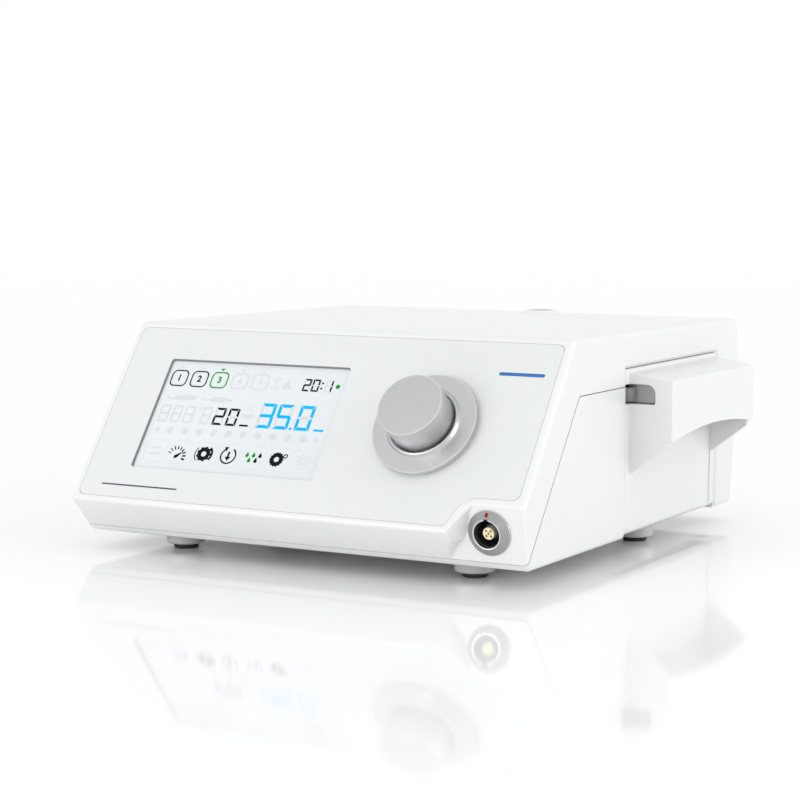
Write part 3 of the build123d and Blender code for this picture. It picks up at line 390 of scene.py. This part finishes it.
class Ink:
    """Collects flat shapes in millimetres on a local plane and lifts them into thin solids."""

    def __init__(self):
        self.bm = bmesh.new()

    def polygon(self, points):
        """One filled outline."""
        self.bm.faces.new([self.bm.verts.new((x, y, 0)) for x, y in points])

    def stroke(self, points, width, closed=False):
        """A line of even width through the points."""
        count = len(points)
        sides = []
        for i, (x, y) in enumerate(points):
            before = points[i - 1] if closed or i else points[i]
            after = points[(i + 1) % count] if closed or i < count - 1 else points[i]
            first = Vector((x - before[0], y - before[1]))
            second = Vector((after[0] - x, after[1] - y))
            if first.length < SHORTEST:
                first = second
            if second.length < SHORTEST:
                second = first
            first.normalize()
            second.normalize()
            along = (first + second).normalized()
            reach = width / 2 / max(SHARPEST, along.dot(first))
            normal = Vector((-along.y, along.x)) * reach
            sides.append((self.bm.verts.new((x + normal.x, y + normal.y, 0)),
                          self.bm.verts.new((x - normal.x, y - normal.y, 0))))
        for i in range(count if closed else count - 1):
            (a, b), (c, d) = sides[i], sides[(i + 1) % count]
            self.bm.faces.new((a, b, d, c))

    def text(self, body, centre, size, weight):
        """Generic numeral from the built-in font, centred on a point."""
        curve = bpy.data.curves.new("numeral", "FONT")
        curve.body = body
        curve.size = size
        curve.offset = weight
        curve.align_x = "CENTER"
        curve.align_y = "CENTER"
        holder = bpy.data.objects.new("numeral", curve)
        mesh = bpy.data.meshes.new_from_object(holder)
        mesh.transform(Matrix.Translation((centre[0], centre[1], 0)))
        self.bm.from_mesh(mesh)
        bpy.data.meshes.remove(mesh)
        bpy.data.objects.remove(holder)
        bpy.data.curves.remove(curve)

    def build(self, name, material, plane, slot, height=0.04):
        """Lift all shapes to one height and place them on a plane of the root body."""
        bmesh.ops.recalc_face_normals(self.bm, faces=self.bm.faces)
        for face in self.bm.faces:
            if face.normal.z < 0:
                face.normal_flip()
        base = list(self.bm.faces)
        lifted = bmesh.ops.extrude_face_region(self.bm, geom=base)["geom"]
        top = [item for item in lifted if isinstance(item, bmesh.types.BMVert)]
        bmesh.ops.translate(self.bm, verts=top, vec=(0, 0, height))
        bmesh.ops.recalc_face_normals(self.bm, faces=self.bm.faces)
        self.bm.transform(plane @ Matrix.Scale(MM, 4))
        add_piece(self.bm, name, material)


def bridge(bm, row, other):
    """Faces between two closed rows of the same number of corners."""
    count = len(row)
    for i in range(count):
        j = (i + 1) % count
        bm.faces.new((row[i], row[j], other[j], other[i]))


def lathe(profile, matrix, steps):
    """Closed profile of (radius, height) points in millimetres, turned about local Z."""
    bm = bmesh.new()
    rows = []
    for r, z in profile:
        ring = []
        for i in range(steps):
            angle = 2 * math.pi * i / steps
            ring.append(bm.verts.new((r * math.cos(angle), r * math.sin(angle), z)))
        rows.append(ring)
    for i, ring in enumerate(rows):
        bridge(bm, ring, rows[(i + 1) % len(rows)])
    bmesh.ops.remove_doubles(bm, verts=bm.verts, dist=1e-6)
    bmesh.ops.recalc_face_normals(bm, faces=bm.faces)
    bm.transform(matrix @ Matrix.Scale(MM, 4))
    return bm


def round_edges(bm, radius, angle, segments, material=-1):
    """Round every edge that is sharper than an angle."""
    bm.normal_update()
    limit = math.radians(angle)
    sharp = [e for e in bm.edges if len(e.link_faces) == 2 and e.calc_face_angle() > limit]
    bmesh.ops.bevel(bm, geom=sharp, offset=radius * MM, segments=segments, profile=0.5,
                    affect="EDGES", clamp_overlap=True, material=material)


def add_piece(bm, name, material, body="root", sharp=35.0):
    """Finish a bmesh as a visible piece: smooth faces, sharp edges kept, riding on a body."""
    mesh = bpy.data.meshes.new(name)
    for face in bm.faces:
        face.smooth = True
    bm.to_mesh(mesh)
    bm.free()
    mesh.set_sharp_from_angle(angle=math.radians(sharp))
    for item in material if isinstance(material, tuple) else (material,):
        mesh.materials.append(item)
    piece = bpy.data.objects.new(name, mesh)
    bpy.context.scene.collection.objects.link(piece)
    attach(piece, body)
    return piece


# ---------------------------------------------------------------- screen contents
# Places are in millimetres from the lower left corner of the visible screen.
KEY_ROW = 46.5
KEY_FIRST = 6.7
KEY_PITCH = 10.75
DOT_ROW = 20.0
DOT_FIRST = 12.4
DOT_PITCH = 7.68
ICON_ROW = 9.4
ICON_FIRST = 9.0
ICON_PITCH = 12.75
FIGURE_BASE = 24.0      # foot of the large figures

# Bars that are lit for each figure, lettered clockwise from the top, the middle bar last.
LIT = {"0": "abcdef", "1": "bc", "2": "abdeg", "3": "abcdg", "5": "acdfg"}


def segment_shapes(centre, width, height, thick, gap):
    """The seven bars of one digit position, with mitred ends."""
    x0, x1 = centre[0] - width / 2, centre[0] + width / 2
    y0, ym, y1 = centre[1] - height / 2, centre[1], centre[1] + height / 2
    t, half = thick, thick / 2
    return {
        "a": [(x0 + gap, y1), (x1 - gap, y1), (x1 - t - gap, y1 - t), (x0 + t + gap, y1 - t)],
        "d": [(x0 + gap, y0), (x0 + t + gap, y0 + t), (x1 - t - gap, y0 + t), (x1 - gap, y0)],
        "g": [(x0 + gap, ym), (x0 + half + gap, ym + half), (x1 - half - gap, ym + half),
              (x1 - gap, ym), (x1 - half - gap, ym - half), (x0 + half + gap, ym - half)],
        "f": [(x0, y1 - gap), (x0 + t, y1 - t - gap), (x0 + t, ym + half + gap), (x0, ym + gap)],
        "b": [(x1, y1 - gap), (x1, ym + gap), (x1 - t, ym + half + gap), (x1 - t, y1 - t - gap)],
        "e": [(x0, y0 + gap), (x0, ym - gap), (x0 + t, ym - half - gap), (x0 + t, y0 + t + gap)],
        "c": [(x1, y0 + gap), (x1 - t, y0 + t + gap), (x1 - t, ym - half - gap), (x1, ym - gap)],
    }


def digit(lit_ink, ghost_ink, figure, centre, width, height, thick, gap=0.16):
    """One digit: lit bars in one ink, the others as a faint ghost."""
    for name, outline in segment_shapes(centre, width, height, thick, gap).items():
        ink = lit_ink if name in LIT.get(figure, "") else ghost_ink
        ink.polygon(outline)


def drop(centre, size):
    """Teardrop outline: a point above a round belly."""
    belly = circle((0, 0), 1.0, 150, 240, 20)
    return moved(belly + [(0, 2.1)], centre, 0, size)


def draw_keys(black, green, ghost):
    """Row of numbered programme keys along the top of the screen."""
    chosen = 2
    pointer = 1.2
    for i, ink in enumerate((black, black, green, ghost, ghost)):
        centre = (KEY_FIRST + KEY_PITCH * i, KEY_ROW)
        ink.stroke(rounded_square(centre, 8.3, 7.8, 2.2), 0.62, closed=True)
        ghost.stroke(rounded_square(centre, 6.9, 6.4, 1.6), 0.16, closed=True)
        ink.text(str(i + 1), centre, 4.4, weight=0.15)
        x, y = centre[0], KEY_ROW + 5.9
        above = green if i == chosen else ghost
        above.polygon([(x - pointer, y), (x, y - pointer), (x + pointer, y)])


def draw_ratio(black, green, ghost):
    """Gear ratio at the top right, with its colour dot."""
    width, height, thick, gap = 3.7, 6.2, 0.85, 0.08
    for figure, x in (("2", 73.9), ("0", 78.3), ("1", 84.9)):
        digit(black, ghost, figure, (x, KEY_ROW), width, height, thick, gap)
    for y in (KEY_ROW - 1.3, KEY_ROW + 1.3):
        black.polygon(circle((81.5, y), 0.5, steps=16))
    green.polygon(circle((89.4, KEY_ROW), 1.05, steps=28))


def draw_figures(black, cyan, ghost):
    """Speed and torque figures in the middle of the screen."""
    height = 8.7
    row = FIGURE_BASE + height / 2
    for x in (5.9, 12.5, 19.1, 28.3):
        digit(black, ghost, "", (x, row), 5.2, height, 1.0)
    ghost.polygon([(23.6, 32.6), (24.8, 32.6), (24.4, 30.6), (23.8, 30.6)])
    for figure, x in (("2", 35.2), ("0", 42.2)):
        digit(black, ghost, figure, (x, row), 5.5, height, 1.12)
    tall = 12.3
    for figure, x in (("3", 59.0), ("5", 67.9), ("0", 78.7)):
        digit(cyan, ghost, figure, (x, FIGURE_BASE + tall / 2), 7.6, tall, 1.55)
    cyan.polygon(circle((73.2, FIGURE_BASE + 0.65), 0.72, steps=20))


def draw_unit_marks(black, cyan, ghost):
    """A plain bar after each figure, where a unit would stand, and a faint sign of three waves."""
    row = FIGURE_BASE + 0.6
    black.polygon(rounded_square((49.3, row), 4.6, 0.9, 0.4))
    cyan.polygon(rounded_square((87.4, row), 5.2, 1.0, 0.45))
    ghost.polygon(rounded_square((49.3, 29.3), 6.0, 2.2, 0.9))
    sway, rise = 0.35, 0.36
    for i in range(3):
        x, y = 47.9 + 1.4 * i, 31.5
        ghost.stroke([(x + sway * math.sin(0.9 * k), y + rise * k) for k in range(9)], 0.3)


def draw_ghost_tools(ghost):
    """Faint outlines of two handpieces above the figures, and of two signs after the keys."""
    contra = [(3.2, 37.5), (6.0, 36.2), (7.6, 36.4), (9.5, 37.6), (14.5, 38.4), (19.6, 37.9),
              (19.6, 36.0), (14.0, 35.2), (9.0, 35.6), (6.4, 35.4), (3.6, 36.9)]
    motor = [(22.2, 37.4), (24.6, 36.4), (27.6, 36.6), (28.2, 38.0), (35.4, 38.0), (36.0, 37.2),
             (39.2, 37.2), (39.2, 36.2), (36.0, 36.2), (35.4, 35.3), (28.2, 35.3), (27.4, 36.0),
             (24.4, 35.8), (22.0, 36.8)]
    ghost.polygon(contra)
    ghost.polygon(motor)
    low, high = KEY_ROW - 2.7, KEY_ROW + 2.7
    ghost.stroke([(56.4, high), (59.6, high), (58.2, KEY_ROW), (59.6, low), (56.4, low),
                  (57.8, KEY_ROW)], 0.4, closed=True)
    ghost.polygon([(61.2, low), (66.6, low), (63.9, high - 0.2)])


def draw_dot_row(ghost):
    """Faint row of dots between two arrow heads."""
    for i in range(10):
        ghost.polygon(circle((DOT_FIRST + DOT_PITCH * i, DOT_ROW), 1.75, steps=30))
    low, high = DOT_ROW - 1.5, DOT_ROW + 1.5
    ghost.polygon([(3.8, DOT_ROW), (6.6, high), (6.6, low)])
    ghost.polygon([(90.0, DOT_ROW), (87.2, low), (87.2, high)])


def draw_gauge(ink, x):
    """Fan of ticks that grow thicker, with a pointer."""
    hub = (x - 1.2, ICON_ROW - 2.0)
    first_angle, step, inner = 158, 22, 3.3
    for i in range(9):
        angle = math.radians(first_angle - step * i)
        outer = 5.0 + 0.25 * math.sin(i)
        ink.stroke([(hub[0] + r * math.cos(angle), hub[1] + r * math.sin(angle))
                    for r in (inner, outer)], 0.42 + 0.05 * i)
    ink.polygon([(hub[0] - 0.9, hub[1] - 1.1), (hub[0] + 0.5, hub[1] - 0.9),
                 (hub[0] + 3.2, hub[1] + 2.6), (hub[0] - 0.9, hub[1] + 0.3)])


def draw_toothed_ring(ink, centre, outer, inner, teeth, depth):
    """Ring with shallow notches round its rim."""
    ink.stroke(circle(centre, (outer + inner) / 2, steps=64), outer - inner, closed=True)
    for i in range(teeth):
        middle = 360 * i / teeth
        arc = circle(centre, outer + depth / 2, middle - 90 / teeth, 180 / teeth, 4)
        ink.stroke(arc, depth)


def draw_torque(ink, x):
    """Toothed ring between a thin arc on its left and a thick one on its right."""
    centre = (x, ICON_ROW)
    draw_toothed_ring(ink, centre, 3.25, 1.3, 9, 0.4)
    ink.stroke(circle(centre, 4.5, 140, 90, 16), 0.42)
    ink.stroke(circle(centre, 4.15, -40, 90, 14), 1.0)


def draw_turning(ink, x):
    """Open circle with an arrow head, and a small arrow down inside it."""
    centre = (x, ICON_ROW)
    ink.stroke(circle(centre, 3.7, 60, -300, 40), 0.72)
    ink.polygon(moved([(-1.1, -0.2), (1.3, 0.1), (0.1, 1.9)], (x - 1.5, ICON_ROW + 3.1), 60))
    ink.stroke([(x, ICON_ROW + 2.0), (x, ICON_ROW - 0.7)], 1.0)
    ink.polygon([(x - 1.5, ICON_ROW - 0.5), (x, ICON_ROW - 2.5), (x + 1.5, ICON_ROW - 0.5)])


def draw_drops(black, green, x):
    """Five drops in two rows, the left ones green."""
    top, low = ICON_ROW + 0.9, ICON_ROW - 1.6
    for ink, dx, y in ((green, -3.3, top), (green, 0.0, top), (black, 3.3, top),
                       (green, -1.6, low), (black, 1.7, low)):
        ink.polygon(drop((x + dx, y), 0.85))


def draw_sun(ghost, x):
    """Faint ring with ten rays."""
    rays = 10
    ghost.stroke(circle((x, ICON_ROW), 1.5, steps=28), 0.5, closed=True)
    for i in range(rays):
        angle = 2 * math.pi * i / rays
        ghost.stroke([(x + r * math.cos(angle), ICON_ROW + r * math.sin(angle))
                      for r in (2.5, 4.2)], 0.55)


def draw_bottom_icons(black, green, ghost):
    """Row of seven pictures along the bottom of the screen, each in a faint frame."""
    places = [ICON_FIRST + ICON_PITCH * i for i in range(7)]
    for x in places:
        ghost.stroke(rounded_square((x, ICON_ROW), 10.8, 11.2, 2.2), 0.18, closed=True)
    for y in (ICON_ROW + 1.4, ICON_ROW - 1.4):
        ghost.stroke([(places[0] - 2.6, y), (places[0] + 2.6, y)], 1.0)
    draw_gauge(black, places[1])
    draw_torque(black, places[2])
    draw_turning(black, places[3])
    draw_drops(black, green, places[4])
    draw_toothed_ring(black, (places[5] - 0.8, ICON_ROW), 3.2, 1.25, 14, 0.3)
    black.stroke(circle((places[5] + 3.2, ICON_ROW + 1.8), 0.85, steps=24), 0.5, closed=True)
    draw_sun(ghost, places[6])


def make_screen_marks():
    """All marks on the screen, one piece for each ink."""
    black, green, cyan, ghost = Ink(), Ink(), Ink(), Ink()
    draw_keys(black, green, ghost)
    draw_ratio(black, green, ghost)
    draw_figures(black, cyan, ghost)
    draw_unit_marks(black, cyan, ghost)
    draw_ghost_tools(ghost)
    draw_dot_row(ghost)
    draw_bottom_icons(black, green, ghost)
    black_ink = printed("lit black", (0.004, 0.004, 0.005), gloss=0.1)
    green_ink = printed("lit green", (0.0, 0.24, 0.015), 0.12, 0.1)
    blue_ink = printed("lit blue", (0.0, 0.38, 0.84), 0.22, 0.1)
    black.build("screen_marks_black", black_ink, SCREEN, "lcd")
    green.build("screen_marks_green", green_ink, SCREEN, "lcd")
    cyan.build("screen_marks_blue", blue_ink, SCREEN, "lcd")
    ghost.build("screen_marks_faint", printed("unlit marks", (0.62, 0.655, 0.675)), SCREEN,
                "lcd", height=0.02)


# ---------------------------------------------------------------- plain marks on the front
RULE_SIZE = (40.0, 0.7)
RULE_CENTRE = (30.6, 6.0)
BAR_SIZE = (21.0, 1.6)
BAR_CENTRE = (FRONT_SIZE.x - 15.7, FRONT_SIZE.y - 15.1)


def make_front_marks():
    """A plain rule and a plain bar with round ends."""
    rule, bar = Ink(), Ink()
    rule.polygon(rounded_square(RULE_CENTRE, *RULE_SIZE, 0.34))
    bar.polygon(rounded_square(BAR_CENTRE, *BAR_SIZE, 0.79))
    rule.build("front_rule", printed("rule ink", (0.05, 0.07, 0.10)), FRONT, "overlay_grey")
    bar.build("front_bar", printed("bar ink", (0.03, 0.13, 0.42)), FRONT, "overlay_grey")


# ---------------------------------------------------------------- screen window lining: painted shade
def make_window_shade_lining():
    """Thin dark strip that lines the walls of the screen window: painted shade, standing in for the shadow in the
    recess.
    """
    bm = bmesh.new()
    width, height = SCREEN_SIZE.x, SCREEN_SIZE.y
    middle = (width / 2, height / 2)
    clearance, reach, corner_out, corner_in = 0.02, 0.35, 1.45, 1.2
    outer = rounded_square(middle, width - 2 * clearance, height - 2 * clearance, corner_out, 8)
    inner = rounded_square(middle, width - 2 * reach, height - 2 * reach, corner_in, 8)
    levels = [
        (outer, clearance), (inner, clearance),
        (inner, 0.5 * SCREEN_DEPTH), (outer, 0.85 * SCREEN_DEPTH),
    ]
    rows = [[bm.verts.new((x, y, z)) for x, y in loop] for loop, z in levels]
    for i, row in enumerate(rows):
        bridge(bm, row, rows[(i + 1) % len(rows)])
    bm.transform(SCREEN @ Matrix.Scale(MM, 4))
    bmesh.ops.recalc_face_normals(bm, faces=bm.faces)
    # The dark grey of this strip is painted shade on the walls of the window's recess.
    dark = matt("window painted shade", (0.20, 0.205, 0.21), (0.4, 0.55), 0.004)
    add_piece(bm, "screen_window_shade_lining", dark)


# ---------------------------------------------------------------- knob and its surround
POLISHED = polished("polished bevel", (0.74, 0.74, 0.75))


def make_knob():
    """Turned cap with a diamond-cut edge, hollow below and bored for its shaft."""
    low, high = local_box("knob_cap", KNOB)
    r, bottom, top = high.x / MM, low.z / MM, high.z / MM
    taper, wall, boss_r, bore_r = 0.35, 2.1, 6.5, 3.02
    ceiling, bore_end, boss_foot = top - 2.4, top - 2.5, bottom + 1.9
    profile = [
        (0, top), (r, top), (r - taper, bottom), (r - wall, bottom), (r - wall, ceiling),
        (boss_r, ceiling), (boss_r, boss_foot), (bore_r, boss_foot), (bore_r, bore_end),
        (0, bore_end),
    ]
    bm = lathe(profile, KNOB, 160)
    round_edges(bm, 0.35, 40, 3, material=1)
    cap = add_piece(bm, "knob_turned", (MATERIALS["knob_metal"], POLISHED), "knob", 28)
    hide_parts("knob_cap")


def make_surround():
    """Turned disc whose rim and bead are cut bright, the face between them blasted."""
    high = local_box("knob_surround", KNOB)[1]
    r, top = high.x / MM, high.z / MM
    face, bore, well, well_floor = 3.7, 7.0, 14.55, 3.0
    under = r - 1.4
    profile = [
        (bore, 0.0), (under, 0.0), (under, 1.1), (r, 1.7), (r, face - 0.05), (17.6, face),
        (16.6, face + 0.25), (16.1, face + 0.9), (15.8, face + 1.45), (15.2, top),
        (well, face + 1.3), (well, well_floor), (bore, well_floor),
    ]
    bm = lathe(profile, KNOB, 192)
    round_edges(bm, 0.3, 60, 3, material=1)
    disc = add_piece(bm, "surround_turned", (MATERIALS["surround_metal"], POLISHED),
                     sharp=24)
    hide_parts("knob_surround")


# ---------------------------------------------------------------- motor socket
RING_TOP = 0.85         # top of the socket ring above the place of the socket's mount
CONE_IN = 6.25          # radii between which the ring slopes down
CONE_OUT = 9.1
CONE_DROP = 2.0
KEY_SLOT_SIZE = (1.8, 1.2, 2.4)
KEY_SLOT_RADIUS = 5.8
MARK_RADIUS = 7.95
MARK_DEPTH = 1.16       # of the index mark's foot below the top of the ring


def ring_profile():
    """Half section of the socket ring; heights are measured from the socket's mount."""
    bore, relief, barrel, rim = 5.75, 6.45, 7.4, 9.5
    base = RING_TOP - 3.0
    foot, land = base - 10.0, base + 1.3
    return [
        (bore, RING_TOP), (CONE_IN, RING_TOP), (CONE_OUT, RING_TOP - CONE_DROP), (rim, base + 0.6),
        (rim, base), (barrel, base), (barrel, foot), (relief, foot), (relief, land), (bore, land),
    ]


def block(size, centre, matrix):
    """Box in a local frame, in millimetres."""
    bm = bmesh.new()
    bmesh.ops.create_cube(bm, size=1.0)
    bmesh.ops.scale(bm, vec=Vector(size), verts=bm.verts)
    bmesh.ops.translate(bm, vec=Vector(centre), verts=bm.verts)
    bm.transform(matrix @ Matrix.Scale(MM, 4))
    return bm


def carve(bm, cutter):
    """One mesh minus another, through the exact boolean."""
    holders = []
    for shape in (bm, cutter):
        mesh = bpy.data.meshes.new("carving")
        shape.to_mesh(mesh)
        shape.free()
        holder = bpy.data.objects.new("carving", mesh)
        bpy.context.scene.collection.objects.link(holder)
        holders.append(holder)
    solid, tool = holders
    modifier = solid.modifiers.new("cut", "BOOLEAN")
    modifier.operation = "DIFFERENCE"
    modifier.solver = "EXACT"
    modifier.object = tool
    bpy.context.view_layer.update()
    done = bmesh.new()
    done.from_object(solid, bpy.context.evaluated_depsgraph_get())
    for holder in holders:
        mesh = holder.data
        bpy.data.objects.remove(holder)
        bpy.data.meshes.remove(mesh)
    return done


def make_socket_ring():
    """Turned ring with a bright bore edge and a key slot at the top of the bore."""
    bm = lathe(ring_profile(), SOCKET, 160)
    round_edges(bm, 0.14, 40, 3, material=1)
    slot = block(KEY_SLOT_SIZE, (0.0, KEY_SLOT_RADIUS, RING_TOP - 0.5), SOCKET)
    bm = carve(bm, slot)
    inverse = SOCKET.inverted()
    bright_level, bright_radius = RING_TOP - 0.12, CONE_IN + 0.05
    for face in bm.faces:
        at = inverse @ face.calc_center_median() / MM
        if at.z > bright_level and at.xy.length < bright_radius:
            face.material_index = 1
    ring = add_piece(bm, "socket_ring_turned", (MATERIALS["socket_metal"], POLISHED),
                     sharp=24)
    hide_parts("motor_socket_ring")


def make_index_mark():
    """Red alignment mark on the cone of the ring, with a rounded outline."""
    slope = math.atan2(CONE_DROP, CONE_OUT - CONE_IN)
    place = SOCKET @ Matrix.Translation((0, MARK_RADIUS * MM, (RING_TOP - MARK_DEPTH) * MM))
    place = place @ Matrix.Rotation(-slope, 4, "X")
    mark = Ink()
    mark.polygon(rounded_square((0, 0), 1.1, 1.9, 0.4))
    red = printed("index red", (0.38, 0.0, 0.0), gloss=0.1)
    mark.build("socket_index_mark", red, place, "socket_metal", height=0.2)


# ---------------------------------------------------------------- inside of the pump lid
def make_tube_ribs():
    """Two thin ribs across the lid's chamber that keep the pump tube in line."""
    opening = next(o for o in frame["record"]["physics"]["openings"] if o["name"] == "tube_notch")
    low, high = [Vector(corner) / MM for corner in opening["box_m"]]
    x0, x1 = low.x - 6.3, high.x + 6.8
    z0, z1 = low.z - 1.1, high.z + 4.4
    outline = [(x0, z0), (x1, z0), (x1, z1 - 2.8), (low.x - 0.4, z1), (x0, z1)]
    inset, half = 18.5, 0.9
    white = moulded("rib white", (0.90, 0.90, 0.90))
    for name, y in (("tube_rib_front", low.y + inset), ("tube_rib_rear", high.y - inset)):
        bm = bmesh.new()
        sides = [[bm.verts.new((x, at, z)) for x, z in outline] for at in (y - half, y + half)]
        bridge(bm, *sides)
        bm.faces.new(sides[0])
        bm.faces.new(sides[1])
        bmesh.ops.recalc_face_normals(bm, faces=bm.faces)
        bm.transform(Matrix.Scale(MM, 4))
        round_edges(bm, 0.25, 30, 2)
        add_piece(bm, name, white, "lid")


def make_contact_sleeves():
    """Gold sleeve around each hole of the insert, standing just proud of its face."""
    face = local_box("motor_socket_insert", SOCKET)[1].z / MM
    bore, rim, foot, top = 0.43, 0.66, face - 0.3, face + 0.04
    profile = [(bore, foot), (rim, foot), (rim, top), (bore, top)]
    places = [(0.0, 0.0)] + circle((0.0, 0.0), 1.5, 45, steps=4)
    gold = MATERIALS["contact_gold"]
    for i, (x, y) in enumerate(places):
        bm = lathe(profile, SOCKET @ Matrix.Translation((x * MM, y * MM, 0)), 32)
        add_piece(bm, f"contact_sleeve_{i + 1}", gold)


make_window_shade_lining()
make_tube_ribs()
make_screen_marks()
make_front_marks()
make_knob()
make_surround()
make_socket_ring()
make_index_mark()
make_contact_sleeves()


# ---------------------------------------------------------------- floor, light and camera
FLOOR_REACH = 6.0
LAMPS = {
    # name: place and size in metres, power in watts
    "side_light": ((1.6, 0.2, 0.38), (1.4, 0.6), 8.0),
    "front_fill": ((-0.3, -1.6, 0.22), (1.6, 0.4), 8.0),
}
LAMP_AIM = Vector((0.0, 0.0, 0.05))
CAMERA_AZIMUTH = 29.68
CAMERA_ELEVATION = 5.92
CAMERA_DISTANCE = 1.0173
CAMERA_LENS = 99.7
LOOK_AT = Vector((-0.01524, -0.0094, 0.06276))


def make_floor():
    """Plain pale floor, smooth enough to mirror the console faintly."""
    n = Nodes("studio floor")
    n.colour(n.noise(3, 2), (0.93, 0.93, 0.93), (0.94, 0.94, 0.94))
    n.roughness(n.noise(8, 2), 0.05, 0.07)
    n.set(IOR=1.4)
    mesh = bpy.data.meshes.new("studio_floor")
    bm = bmesh.new()
    bmesh.ops.create_grid(bm, x_segments=8, y_segments=8, size=FLOOR_REACH)
    bm.to_mesh(mesh)
    bm.free()
    mesh.materials.append(n.material)
    floor = bpy.data.objects.new("studio_floor", mesh)
    bpy.context.scene.collection.objects.link(floor)


def area_light(name, place, size, power):
    """Rectangular lamp that faces the console."""
    lamp = bpy.data.lights.new(name, "AREA")
    lamp.shape = "RECTANGLE"
    lamp.size, lamp.size_y = size
    lamp.energy = power
    holder = bpy.data.objects.new(name, lamp)
    holder.location = place
    holder.rotation_euler = (LAMP_AIM - Vector(place)).to_track_quat("-Z", "Y").to_euler()
    bpy.context.scene.collection.objects.link(holder)


def make_light():
    """White surroundings and two soft lamps."""
    world = bpy.data.worlds.new("studio")
    world.use_nodes = True
    background = world.node_tree.nodes["Background"]
    background.inputs["Color"].default_value = (1, 1, 1, 1)
    background.inputs["Strength"].default_value = 1.0
    bpy.context.scene.world = world
    for name, (place, size, power) in LAMPS.items():
        area_light(name, place, size, power)


def make_camera():
    """Camera at an azimuth and elevation around the point that it looks at."""
    a, e = math.radians(CAMERA_AZIMUTH), math.radians(CAMERA_ELEVATION)
    back = Vector((math.sin(a) * math.cos(e), -math.cos(a) * math.cos(e), math.sin(e)))
    data = bpy.data.cameras.new("camera")
    data.lens = CAMERA_LENS
    data.sensor_width = 36.0
    data.clip_start = 0.01
    camera = bpy.data.objects.new("camera", data)
    camera.location = LOOK_AT + back * CAMERA_DISTANCE
    camera.rotation_euler = (-back).to_track_quat("-Z", "Y").to_euler()
    bpy.context.scene.collection.objects.link(camera)
    bpy.context.scene.camera = camera


make_floor()
make_light()
make_camera()
bpy.context.scene.view_settings.view_transform = "Standard"
